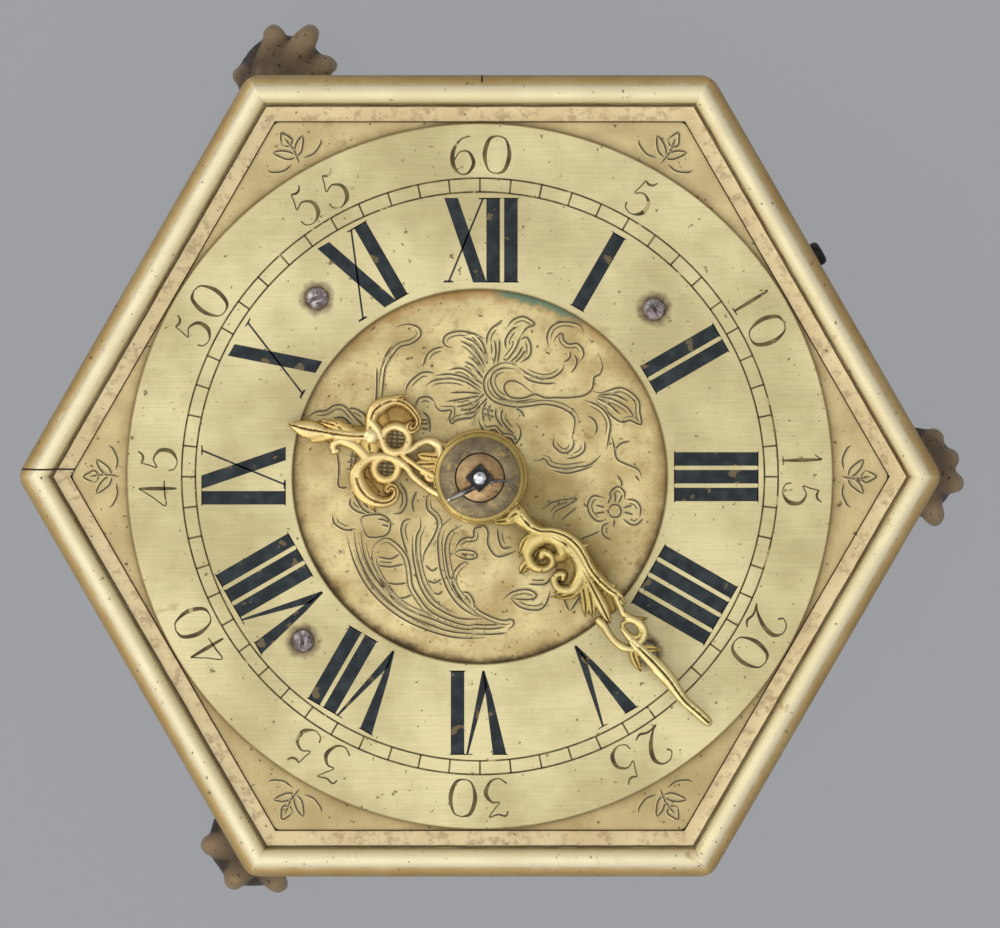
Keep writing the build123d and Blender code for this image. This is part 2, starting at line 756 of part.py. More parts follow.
def make_balance_cock():
    """Pierced cock over the balance, its foot screwed under the back plate."""
    reach = balance_r + 4.6
    plan = Circle(6.0) + Pos(reach / 2, 0) * Rectangle(reach, 5.0) + Pos(reach, 0) * Circle(3.6)
    for k in range(5):
        plan -= Rot(0, 0, 60 + 60 * k) * Pos(3.7, 0) * Circle(1.25)
    plan -= Circle(0.5 + fit)
    body = extrude(plan, 1.2)
    foot = Pos(reach, 0, 0) * extrude(Circle(3.0), z_back - z_cock)
    body += foot
    body -= Pos(reach, 0, 0) * extrude(Circle(1.0), 20)
    return Pos(verge_x, escape_y, z_cock) * Rot(0, 0, cock_at()) * body


def make_cock_screw():
    at = cock_screw_xy()
    screw = disc(1.0, z_back_top - z_cock, at, z_cock) + disc(1.9, 0.8, at, z_cock - 0.8)
    return screw - Pos(at[0], at[1], z_cock - 0.8) * Box(6, 0.5, 0.8)


def make_potence():
    """Carries the escape wheel's inner pivot and the verge's upper pivot."""
    x, y = verge_xy
    z = z_escape
    top = z_bridge()
    inner = escape_x - 1.0
    column = block(x - 5, x - 2.2, y + 1.6, y + 6.0, z_back_top, top + 1.0)
    foot = block(x - 7.5, x - 0.6, y + 2.6, y + 6.0, z_back_top, z_back_top + 1.4)
    arm = block(x - 3.0, inner - 0.2, y + 1.7, y + 3.4, z - 1.0, z + 1.0)
    nose = block(inner - 1.2, inner - 0.2, y - 0.9, y + 1.7, z - 1.0, z + 1.0)
    bridge = block(x - 5, x + 1.4, y - 1.4, y + 6.0, top, top + 1.0)
    body = column + foot + arm + nose + bridge
    body -= disc(0.5 + fit, 3, verge_xy, top - 1)
    body -= along_x(extrude(Circle(0.5 + fit), 4), inner - 3)
    return body


def make_counter_potence():
    x = counter_x()
    y, z = escape_y, z_escape
    post = block(x - 0.2, x + 0.9, y - 1.5, y + 1.5, z_back_top, z + 1.2)
    foot = block(x - 0.2, x + 3.2, y - 1.5, y + 1.5, z_back_top, z_back_top + 1.2)
    return post + foot - along_x(extrude(Circle(0.5 + fit), 8), x - 4)


def make_fusee_arbor():
    at = fusee_xy
    body = disc(arbor_r, plate_t + 0.4, at, z_front - 0.4)
    body += disc(1.6, z_front - z_back - 0.4, at, z_back)
    half = square_side / 2
    body += block(at[0] - half, at[0] + half, at[1] - half, at[1] + half, z_back - 6.5, z_back)
    return body


def fusee_radius(share):
    """Trumpet-shaped cone, large at the great wheel."""
    return fusee_small_r + (fusee_big_r - fusee_small_r) * (1 - share) ** 1.5


def make_fusee():
    step = fusee_h / fusee_turns
    points = [(1.6, 0), (fusee_big_r + 0.5, 0)]
    for k in range(fusee_turns):
        r = fusee_radius((k + 0.5) / fusee_turns)
        low = k * step
        points += [(r + 0.7, low + 0.5), (r, low + 0.8), (r, low + step - 0.8),
                   (r + 0.6, low + step - 0.5)]
    points += [(fusee_small_r + 0.8, fusee_h), (1.6, fusee_h), (1.6, 0)]
    outline = Polyline(*points)
    cone = revolve(Plane.XZ * make_face(outline.edges()), Axis.Z)
    return Pos(fusee_xy[0], fusee_xy[1], z_fusee) * cone


def make_great_wheel():
    return wheel(great_teeth, great_module, fusee_at + 180, great_wheel_t, fusee_xy, z_great,
                 1.6, spokes=6, hub_r=9.0)


def make_barrel():
    """Spring barrel with its lips and snapped-in cover, running on a fixed arbor."""
    r, h, b = barrel_r, barrel_h, barrel_arbor_r + fit
    outline = Polyline((b, 0), (r, 0), (r, 1.0), (r - 0.5, 1.3), (r - 0.5, h - 1.3), (r, h - 1.0),
                       (r, h), (r - 1.4, h), (r - 1.4, h - 0.4), (4.0, h - 0.4), (4.0, h),
                       (b, h), (b, 0))
    drum = revolve(Plane.XZ * make_face(outline.edges()), Axis.Z)
    return Pos(barrel_xy[0], barrel_xy[1], z_barrel) * drum


def make_barrel_arbor():
    at = barrel_xy
    body = disc(barrel_arbor_r, z_front - z_back_top, at, z_back_top)
    body += disc(barrel_arbor_r - 0.4, plate_t, at, z_front)
    body += disc(barrel_arbor_r, plate_t, at, z_back)
    half = square_side / 2
    return body + block(at[0] - half, at[0] + half, at[1] - half, at[1] + half, z_back - 4.6,
                        z_back)


def make_setup_ratchet():
    points = []
    for k in range(ratchet_teeth):
        deg = 360 / ratchet_teeth * k
        points += [polar(ratchet_r - 1.0, deg), polar(ratchet_r, deg + 2)]
    plan = Polygon(*points, align=None) - Rectangle(square_side, square_side)
    return Pos(barrel_xy[0], barrel_xy[1], z_back - 1.8) * extrude(plan, 1.4)


def make_setup_click():
    at = away(barrel_xy, ratchet_r + 4.5, 60)
    tip = away(barrel_xy, ratchet_r + 0.3, 38)
    pawl = Pos(at[0], at[1]) * Circle(1.7)
    nose = Polygon(away(at, 1.4, 60), away(at, 1.4, 240), tip, align=None)
    body = Pos(0, 0, z_back - 1.6) * extrude(pawl + nose, 1.2)
    body += disc(0.8, 0.4, at, z_back - 0.4)
    return body + disc(1.2, 0.5, at, z_back - 2.1)


def make_fusee_chain():
    """Chain's straight run from the fusee's fourth groove to the barrel, in short links."""
    turn = 2
    r1 = fusee_radius((turn + 0.5) / fusee_turns) + clear + 0.5
    r2 = barrel_r + clear + 0.5 - 0.0
    dx, dy = barrel_xy[0] - fusee_xy[0], barrel_xy[1] - fusee_xy[1]
    dist = math.hypot(dx, dy)
    line = math.degrees(math.atan2(dy, dx))
    lean = math.degrees(math.asin((r2 - r1) / dist))
    normal = line - 90 - lean
    start, end = away(fusee_xy, r1, normal), away(barrel_xy, r2, normal)
    run = math.hypot(end[0] - start[0], end[1] - start[1])
    links = round(run / 2.6)
    pitch = run / links
    chain = None
    for k in range(links):
        mid = pitch * (k + 0.5)
        if k % 2:
            link = Pos(mid, 0) * Box(pitch + 0.9, 0.3, 1.2)
        else:
            plate = Box(pitch + 0.9, 0.25, 1.2)
            link = Pos(mid, 0.275) * plate + Pos(mid, -0.275) * plate
            link += Pos(mid, 0) * Box(pitch - 1.4, 0.3, 0.8)
        chain = link if chain is None else chain + link
    z = z_fusee + fusee_h / fusee_turns * (turn + 0.5)
    turn_deg = math.degrees(math.atan2(end[1] - start[1], end[0] - start[0]))
    return Pos(start[0], start[1], z) * Rot(0, 0, turn_deg) * chain


# Motion work under the dial

def cannon_r():
    return arbor_r + fit + cannon_wall


def hour_pipe_r():
    return cannon_r() + fit + hour_pipe_wall


def z_hour_hand():
    return z_ring_top + hand_lift


def z_minute_hand():
    return z_hour_hand() + hand_t + hand_gap


def z_collet():
    return z_minute_hand() + hand_t


def make_cannon_pinion():
    """Cannon pinion with its pipe, squared above the hand and cross-drilled for the pin."""
    z0 = z_front_top + 0.5
    body = pinion(cannon_teeth, motion_module, minute_wheel_at, 2.4, (0, 0), z0)
    body += disc(cannon_r(), z_minute_hand() - z0, z=z0)
    half = cannon_square / 2
    top = z_collet() + collet_t + 0.4 + square_above
    post = block(-half, half, -half, half, z_minute_hand() - 0.3, top)
    post = post & disc(cannon_square * 0.69, top, z=0)
    body += Rot(0, 0, minute_angle()) * post
    body += disc(0.9, 0.5, z=top)
    body -= disc(arbor_r + fit, cannon_bore_top() + 0.8 - z0, z=z0)
    return body - pin_path(hand_pin_r)


def z_pin():
    return z_collet() + collet_t + 0.4 + hand_pin_r + 0.02


def pin_path(r):
    pin = Cylinder(r, hand_pin_len, rotation=(0, 90, 0))
    return Pos(0, 0, z_pin()) * Rot(0, 0, hand_pin_turn) * pin


def make_hand_pin():
    pin = Cone(hand_pin_r, hand_pin_r * 0.8, hand_pin_len, rotation=(0, 90, 0))
    return Pos(0, 0, z_pin()) * Rot(0, 0, hand_pin_turn) * pin


def make_hand_collet():
    """Flat steel collet with a brass step, slipped over the square."""
    r = collet_r
    z = z_collet()
    dome = Polyline((0, 0), (r, 0), (r, collet_t - 0.15), (r - 0.15, collet_t),
                    (collet_step_r, collet_t), (collet_step_r, collet_t + 0.4),
                    (0, collet_t + 0.4), (0, 0))
    body = revolve(Plane.XZ * make_face(dome.edges()), Axis.Z)
    body = Pos(0, 0, z) * body
    half = cannon_square / 2
    hole = block(-half, half, -half, half, z - 1, z + 5) & disc(cannon_square * 0.69, z + 5)
    return body - Rot(0, 0, minute_angle()) * hole


def make_hour_wheel():
    z0 = z_front_top + 4.2
    body = wheel(hour_teeth, motion_module, minute_wheel_at + 180 / hour_teeth, wheel_t, (0, 0),
                 z0, cannon_r() + fit, hub_r=5.0)
    pipe = disc(hour_pipe_r(), z_hour_hand() + hand_t - z0, z=z0)
    return body + pipe - disc(cannon_r() + fit, 20, z=z0)


def make_minute_wheel():
    at = minute_wheel_xy
    z0 = z_front_top + 1.0
    back = minute_wheel_at + 180
    body = wheel(minute_wheel_teeth, motion_module, back, wheel_t, at, z0, pivot_r + fit)
    leaves = tooth_outline(minute_pinion_teeth, motion_module, back, add=0.5, root=0.36, tip=0.18)
    body += Pos(at[0], at[1], z0 + wheel_t) * extrude(leaves, 3.6)
    return body - disc(pivot_r + fit, 8, at, z0)


def make_minute_wheel_post():
    at = minute_wheel_xy
    return disc(pivot_r, plate_t + under_dial - 0.5, at, z_front) + disc(1.6, 0.7, at, z_front_top)


# Hands

def hour_angle():
    return 90 - hour_hand_clock


def minute_angle():
    return 90 - minute_hand_clock


def ribbon(points, widths, flip=1, steps=3):
    """Tapering stroke along a smooth line through points; flip -1 mirrors it in X."""
    pts, wid = [], []
    n = len(points)
    for i in range(n - 1):
        p0, p1 = points[max(i - 1, 0)], points[i]
        p2, p3 = points[i + 1], points[min(i + 2, n - 1)]
        for s in range(steps):
            t = s / steps
            blend = [0.5 * (2 * p1[c] + (p2[c] - p0[c]) * t
                            + (2 * p0[c] - 5 * p1[c] + 4 * p2[c] - p3[c]) * t * t
                            + (3 * p1[c] - p0[c] - 3 * p2[c] + p3[c]) * t ** 3) for c in (0, 1)]
            pts.append(tuple(blend))
            wid.append(widths[i] + (widths[i + 1] - widths[i]) * t)
    pts.append(points[-1])
    wid.append(widths[-1])
    left, right = [], []
    for i, (x, y) in enumerate(pts):
        ax, ay = pts[max(i - 1, 0)]
        bx, by = pts[min(i + 1, len(pts) - 1)]
        d = math.hypot(bx - ax, by - ay)
        nx, ny = -(by - ay) / d, (bx - ax) / d
        half = max(wid[i], 0.12) / 2
        left.append((x + nx * half, (y + ny * half) * flip))
        right.append((x - nx * half, (y - ny * half) * flip))
    stroke = None
    for i in range(0, len(pts) - 1, steps):
        j = min(i + steps, len(pts) - 1) + 1
        outline = [*right[i:j], *reversed(left[i:j])]
        if flip < 0:
            outline.reverse()
        span = Polygon(*outline, align=None)
        stroke = span if stroke is None else stroke + span
    return stroke


def ring_at(x, y, r, band):
    return Pos(x, y) * (Circle(r) - Circle(r - band))


def hour_hand_plan():
    """Shell at the boss, paired ring scrolls and C-scrolls, a knot and a leafy spear."""
    tip = hour_hand_len
    plan = Circle(hand_boss_r)
    for turn in (-36, -18, 0, 18, 36):
        plan += Rot(0, 0, turn) * Pos(hand_boss_r + 0.9, 0) * Ellipse(2.3, 1.25)
    plan += ribbon([(8, 0), (12, 0.1), (17.5, 0)], [3.0, 1.4, 1.6])
    for flip in (1, -1):
        plan += ring_at(13.8, 2.3 * flip, 1.95, 0.75)
        plan += ribbon([(9.0, 3.2), (11.2, 5.6), (14.0, 7.6), (16.6, 6.4), (16.2, 4.2),
                        (14.6, 4.8)], [1.6, 1.3, 1.3, 1.2, 1.0, 0.8], flip)
        plan += ribbon([(15.6, 3.4), (17.4, 2.2), (19.2, 1.2)], [0.9, 1.3, 0.9], flip)
        plan += ribbon([(18.4, 0.4), (20.2, 2.4), (22.3, 2.7)], [1.6, 1.2, 0.2], flip)
    plan += Pos(17.7, 0) * Ellipse(1.7, 1.5)
    plan += ribbon([(18, 0), (21, 0.2), (24, 0), (tip, 0)], [1.8, 2.6, 2.0, 0.15])
    return plan


def minute_hand_plan():
    """Volute and scroll at the root, acanthus leaves, an open loop and a long blade."""
    tip = minute_hand_len
    plan = Circle(hand_boss_r - 0.2)
    plan += ribbon([(5.5, 1.0), (9.5, 2.6), (13.6, 2.6), (16.6, 0.4), (15.2, -2.4), (12.4, -2.2),
                    (12.0, 0.2), (13.8, 0.6)], [2.8, 1.8, 1.6, 1.6, 1.4, 1.2, 1.0, 0.7])
    plan += ribbon([(5.5, -1.6), (8.6, -3.4), (11.6, -3.4)], [2.2, 1.6, 0.6])
    plan += ribbon([(15.6, 0.8), (18.4, 2.4), (20.8, 1.2), (20.2, -1.0), (18.2, -1.2),
                    (17.8, 0.2)], [1.4, 1.4, 1.2, 1.1, 0.9, 0.7])
    plan += ribbon([(19.6, 0.6), (23.2, 0.6), (28.4, 0.0)], [1.5, 2.4, 1.1])
    plan += ribbon([(20.6, 1.4), (23.4, 3.4), (26.4, 3.3)], [1.5, 1.5, 0.2])
    plan += ribbon([(21.4, -0.4), (24.0, -2.4), (26.6, -2.5)], [1.5, 1.4, 0.2])
    plan += Pos(30.6, 0.05) * (Ellipse(3.1, 1.85) - Ellipse(2.1, 0.95))
    plan += ribbon([(33.2, 0), (36.0, 0.2), (40.0, 0), (tip, 0)], [1.0, 1.2, 1.7, 0.15])
    plan += ribbon([(34.6, 0.2), (37.4, 2.0), (39.8, 2.0)], [1.2, 1.2, 0.2])
    plan += ribbon([(34.8, 0), (37.0, -1.7), (39.2, -1.8)], [1.2, 1.1, 0.2])
    return plan


def make_hour_hand():
    body = extrude(hour_hand_plan(), hand_t) - disc(hour_pipe_r(), hand_t)
    return Pos(0, 0, z_hour_hand()) * Rot(0, 0, hour_angle()) * body


def make_minute_hand():
    half = cannon_square / 2
    hole = Rectangle(cannon_square, cannon_square) & Circle(cannon_square * 0.69)
    body = extrude(minute_hand_plan() - hole, hand_t)
    return Pos(0, 0, z_minute_hand()) * Rot(0, 0, minute_angle()) * body


def main():
    nodes = {
        "base_plate": make_base_plate(),
        "base_moulding": make_base_moulding(),
        "paw_foot_right": make_foot(foot_at[0]),
        "paw_foot_upper_left": make_foot(foot_at[1]),
        "paw_foot_lower_left": make_foot(foot_at[2]),
        "base_hinge_leaf": make_base_leaf(),
        "case_hinge_leaf": make_case_leaf(),
        "hinge_pin": make_hinge_pin(),
        "catch_button": make_catch_button(),
        "catch_hook": make_catch_hook(),
        "catch_spring": make_catch_spring(),
        "wall_upper_right": make_wall(30),
        "wall_top": make_wall(90),
        "wall_upper_left": make_wall(150),
        "wall_lower_left": make_wall(210),
        "wall_bottom": make_wall(270),
        "wall_lower_right": make_wall(330),
        "window_frames": make_window_frames(),
        "window_panes": make_window_panes(),
        "top_moulding": make_top_moulding(),
        "dial_plate": make_dial_plate(),
        "chapter_ring": make_chapter_ring(),
        "dial_screws": make_dial_screws(),
        "dial_posts": make_dial_posts(),
        "front_plate": make_front_plate(),
        "back_plate": make_back_plate(),
        "plate_pillars": make_pillars(),
        "pillar_pins": make_pillar_pins(),
        "centre_arbor": make_centre_arbor(),
        "centre_wheel": make_centre_wheel(),
        "third_arbor": make_third_arbor(),
        "third_wheel": make_third_wheel(),
        "contrate_arbor": make_contrate_arbor(),
        "contrate_wheel": make_contrate_wheel(),
        "escape_arbor": make_escape_arbor(),
        "escape_wheel": make_escape_wheel(),
        "verge_staff": make_verge_staff(),
        "balance_wheel": make_balance_wheel(),
        "hairspring": make_hairspring(),
        "balance_cock": make_balance_cock(),
        "cock_screw": make_cock_screw(),
        "potence": make_potence(),
        "counter_potence": make_counter_potence(),
        "fusee_arbor": make_fusee_arbor(),
        "fusee": make_fusee(),
        "great_wheel": make_great_wheel(),
        "mainspring_barrel": make_barrel(),
        "barrel_arbor": make_barrel_arbor(),
        "setup_ratchet": make_setup_ratchet(),
        "setup_click": make_setup_click(),
        "fusee_chain": make_fusee_chain(),
        "cannon_pinion": make_cannon_pinion(),
        "minute_hand": make_minute_hand(),
        "hand_collet": make_hand_collet(),
        "hand_pin": make_hand_pin(),
        "hour_wheel": make_hour_wheel(),
        "hour_hand": make_hour_hand(),
        "minute_wheel": make_minute_wheel(),
        "minute_wheel_post": make_minute_wheel_post(),
    }
    for name, shape in nodes.items():
        export_step(shape, f"parts/{name}.step")


main()
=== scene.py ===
"""Looks of the hexagonal gilt-brass table clock. Sizes are in millimetres; the scene is in metres."""
import logging
import math
from collections.abc import Sequence
from dataclasses import dataclass
from enum import Enum

import bmesh
import bpy
import numpy as np
from mathutils import Matrix, Vector, noise

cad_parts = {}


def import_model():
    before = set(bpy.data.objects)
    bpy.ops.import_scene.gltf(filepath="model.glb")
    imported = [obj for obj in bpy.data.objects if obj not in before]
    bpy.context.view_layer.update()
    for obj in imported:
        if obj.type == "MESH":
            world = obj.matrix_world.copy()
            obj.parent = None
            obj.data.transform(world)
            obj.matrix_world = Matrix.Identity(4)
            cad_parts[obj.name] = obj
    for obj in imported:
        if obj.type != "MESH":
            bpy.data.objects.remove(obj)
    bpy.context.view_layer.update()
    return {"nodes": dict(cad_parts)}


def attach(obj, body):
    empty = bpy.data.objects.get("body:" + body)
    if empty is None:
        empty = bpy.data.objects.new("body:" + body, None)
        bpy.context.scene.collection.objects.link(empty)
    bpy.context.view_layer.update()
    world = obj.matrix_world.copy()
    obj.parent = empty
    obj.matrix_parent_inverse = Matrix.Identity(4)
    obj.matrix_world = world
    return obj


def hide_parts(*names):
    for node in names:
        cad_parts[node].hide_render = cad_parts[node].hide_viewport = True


MM = 0.001
LOG = logging.getLogger("table_clock")
Point = tuple[float, float]
Tree = bpy.types.NodeTree
Socket = bpy.types.NodeSocket
Skin = bpy.types.Material
Piece = bpy.types.Object


class Metal(Enum):
    """Slot names of the record; the centre stack pairs its pieces with them, but no piece is given a slot.
    """
    DIAL = "gilt_dial"
    HANDS = "gilt_hands"
    FEET = "bronze_feet"
    MOVEMENT = "movement_brass"
    STEEL = "steel"


def linear(colour: str) -> tuple[float, float, float, float]:
    """Turns an sRGB hex colour into linear RGBA.

    Args:
        colour: six hex digits with a leading hash.
    Returns:
        Red, green, blue and alpha.
    """
    parts = [int(colour[i:i + 2], 16) / 255 for i in (1, 3, 5)]
    lin = [c / 12.92 if c <= 0.04045 else ((c + 0.055) / 1.055) ** 2.4 for c in parts]
    return lin[0], lin[1], lin[2], 1.0


def add(tree: Tree, kind: str, feeds: dict | None = None, stops: Sequence | None = None,
        **settings) -> bpy.types.Node:
    """Adds a node with its settings and links.

    Args:
        tree: the shader or geometry tree.
        kind: the node's type name.
        feeds: input name or index to a value or to the socket that feeds it.
        stops: (position, hex colour) pairs of a colour ramp.
        settings: the node's own properties.
    Returns:
        The new node.
    """
    node = tree.nodes.new(kind)
    for key, value in settings.items():
        setattr(node, key, value)
    if stops:
        ramp = node.color_ramp
        while len(ramp.elements) < len(stops):
            ramp.elements.new(0.5)
        for element, (position, colour) in zip(ramp.elements, stops):
            element.position = position
            element.color = linear(colour)
    for key, value in (feeds or {}).items():
        if isinstance(value, Socket):
            tree.links.new(value, node.inputs[key])
        else:
            node.inputs[key].default_value = value
    return node


def per(size: float) -> float:
    """Noise scale on Object coordinates for features of this size in mm."""
    return 1 / (size * MM)


def smooth_line(points: Sequence[Sequence[float]], steps: int = 6, closed: bool = False) -> np.ndarray:
    """Rounds a drawn line through its points (Catmull-Rom).

    Args:
        points: the drawn points, with any further columns such as widths.
        steps: samples per span.
        closed: whether the line runs back into its start.
    Returns:
        The sampled rows.
    """
    p = np.array(points, float)
    if len(p) < 3:
        return np.array([p[0] + (p[-1] - p[0]) * t for t in np.linspace(0, 1, steps + 1)])
    if closed:
        q = np.vstack([p[-2], p, p[1]])
    else:
        q = np.vstack([2 * p[0] - p[1], p, 2 * p[-1] - p[-2]])
    rows = []
    for i in range(1, len(q) - 2):
        a, b, c, d = q[i - 1:i + 3]
        for t in np.arange(steps) / steps:
            rows.append(0.5 * (2 * b + (c - a) * t + (2 * a - 5 * b + 4 * c - d) * t * t
                               + (3 * b - a - 3 * c + d) * t ** 3))
    rows.append(q[-2])
    return np.array(rows)


def mesh_object(name: str, verts: np.ndarray, faces: Sequence, material: Skin,
                smooth: bool = False) -> Piece:
    """Makes a mesh piece at the origin from points in mm.

    Args:
        name: the piece's name.
        verts: corner points in mm.
        faces: corner numbers of each face, counter-clockwise from outside.
        material: its finish.
        smooth: whether faces up to 48 degrees apart shade as one.
    Returns:
        The object.
    """
    mesh = bpy.data.meshes.new(name)
    mesh.from_pydata((np.asarray(verts, float) * MM).tolist(), [], [list(map(int, f)) for f in faces])
    mesh.validate()
    mesh.materials.append(material)
    if smooth:
        mesh.polygons.foreach_set("use_smooth", [True] * len(mesh.polygons))
        mesh.set_sharp_from_angle(angle=math.radians(48))
    obj = bpy.data.objects.new(name, mesh)
    bpy.context.scene.collection.objects.link(obj)
    return obj


def prisms(name: str, outlines: Sequence[np.ndarray], low: float, high: float, material: Skin) -> Piece:
    """Makes thin closed inlays from outlines.

    Args:
        name: the piece's name.
        outlines: closed outlines in mm, either way round.
        low: underside height.
        high: top height.
        material: its finish.
    Returns:
        The object.
    """
    verts, faces = [], []
    for line in outlines:
        line = np.asarray(line, float)
        x, y = line[:, 0], line[:, 1]
        if np.sum(x * np.roll(y, -1) - y * np.roll(x, -1)) < 0:
            line = line[::-1]
        n, first = len(line), len(verts)
        verts += [(px, py, low) for px, py in line] + [(px, py, high) for px, py in line]
        faces.append([first + n + i for i in range(n)])
        faces.append([first + n - 1 - i for i in range(n)])
        faces += [[first + i, first + (i + 1) % n, first + n + (i + 1) % n,
                   first + n + i] for i in range(n)]
    return mesh_object(name, np.array(verts), faces, material)


def brushed_outline(rows: np.ndarray) -> np.ndarray:
    """Outline of a line drawn with a changing width.

    Args:
        rows: x, y and width along the line.
    Returns:
        The closed outline's points.
    """
    step = np.gradient(rows[:, :2], axis=0)
    step /= np.maximum(np.linalg.norm(step, axis=1), 1e-9)[:, None]
    side = np.stack([-step[:, 1], step[:, 0]], 1) * rows[:, 2:3] / 2
    return np.vstack([rows[:, :2] + side, (rows[:, :2] - side)[::-1]])


def grown(name: str, source: bpy.types.ID, tree: Tree) -> Piece:
    """Runs a Geometry Nodes tree on a curve or an empty mesh and keeps the plain mesh.

    Args:
        name: the piece's name.
        source: the curve or mesh data that the tree starts from.
        tree: the tree, ending in Realize Instances and Set Material.
    Returns:
        The finished object.
    """
    seed = bpy.data.objects.new(name + "_drawing", source)
    bpy.context.scene.collection.objects.link(seed)
    seed.modifiers.new("nodes", "NODES").node_group = tree
    graph = bpy.context.evaluated_depsgraph_get()
    mesh = bpy.data.meshes.new_from_object(seed.evaluated_get(graph))
    mesh.name = name
    bpy.data.objects.remove(seed)
    obj = bpy.data.objects.new(name, mesh)
    bpy.context.scene.collection.objects.link(obj)
    return obj


def new_tree(name: str, sizes: dict[str, float]) -> tuple[Tree, dict[str, Socket], bpy.types.Node]:
    """Starts a Geometry Nodes tree with named sizes.

    Args:
        name: the tree's name.
        sizes: the tree's inputs by name, in metres or whole counts.
    Returns:
        The tree, its inputs by name and its output node.
    """
    tree = bpy.data.node_groups.new(name, "GeometryNodeTree")
    tree.interface.new_socket("Geometry", in_out="INPUT", socket_type="NodeSocketGeometry")
    for key, value in sizes.items():
        kind = "NodeSocketInt" if isinstance(value, int) else "NodeSocketFloat"
        tree.interface.new_socket(key, in_out="INPUT", socket_type=kind).default_value = value
    tree.interface.new_socket("Geometry", in_out="OUTPUT", socket_type="NodeSocketGeometry")
    start = tree.nodes.new("NodeGroupInput")
    return tree, {s.name: s for s in start.outputs}, tree.nodes.new("NodeGroupOutput")


def finish_tree(tree: Tree, end: bpy.types.Node, shape: Socket, material: Skin) -> None:
    """Ends a Geometry Nodes tree in Realize Instances and Set Material.

    Args:
        tree: the tree.
        end: its output node.
        shape: the geometry so far.
        material: the finish.
    """
    real = add(tree, "GeometryNodeRealizeInstances", {0: shape})
    done = add(tree, "GeometryNodeSetMaterial", {"Geometry": real.outputs[0], "Material": material})
    tree.links.new(done.outputs[0], end.inputs[0])


# Finishes

def blank(name: str) -> tuple[Skin, Tree, Socket]:
    """Starts a material.

    Args:
        name: its name.
    Returns:
        The material, its empty tree and the Object coordinates.
    """
    material = bpy.data.materials.new(name)
    material.use_nodes = True
    material.node_tree.nodes.clear()
    at = add(material.node_tree, "ShaderNodeTexCoord").outputs["Object"]
    return material, material.node_tree, at


def lay(tree: Tree, base: Socket | tuple, hue: str, *masks: Socket | tuple) -> Socket:
    """Lays one colour over another where all the masks meet.

    Args:
        tree: the shader tree.
        base: the colour below.
        hue: sRGB hex colour of the new layer.
        masks: shares from 0 to 1, or rows of (value, start, end, share at start, share at end) that turn a
            measured value into a share. The shares of a row are 0 and 1 unless given.
    Returns:
        The mixed colour.
    """
    share = None
    for mask in masks:
        if isinstance(mask, tuple):
            mask = add(tree, "ShaderNodeMapRange", dict(enumerate(mask))).outputs[0]
        if share is None:
            share = mask
        else:
            share = add(tree, "ShaderNodeMath", {0: share, 1: mask}, operation="MULTIPLY").outputs[0]
    return add(tree, "ShaderNodeMix", {0: share, 6: base, 7: linear(hue)}, data_type="RGBA").outputs[2]


def risen(tree: Tree, at: Socket, size: float, low: float, high: float, share: float = 1.0,
          detail: float = 4.0, rough: float = 0.5, twist: float = 0.0) -> Socket:
    """Mask of the spots where a noise rises past a level.

    Args:
        tree: the shader tree.
        at: the coordinates.
        size: size of the spots in mm.
        low: noise level where the mask starts.
        high: noise level where it is full.
        share: the full mask's value.
        detail: octaves of the noise.
        rough: weight of the finer octaves.
        twist: distortion of the noise.
    Returns:
        The mask.
    """
    cloud = add(tree, "ShaderNodeTexNoise", {
        "Vector": at, "Scale": per(size), "Detail": detail, "Roughness": rough, "Distortion": twist})
    return add(tree, "ShaderNodeMapRange", {0: cloud.outputs[0], 1: low, 2: high, 4: share}).outputs[0]


def in_mm(tree: Tree, at: Socket) -> tuple[Socket, Socket]:
    """Place on the dial and distance from its middle, both in mm.

    Args:
        tree: the shader tree.
        at: the Object coordinates.
    Returns:
        The flat place and the radius.
    """
    flat = add(tree, "ShaderNodeVectorMath", {0: at, 1: (1000, 1000, 0)}, operation="MULTIPLY").outputs[0]
    return flat, add(tree, "ShaderNodeVectorMath", {0: flat}, operation="LENGTH").outputs["Value"]


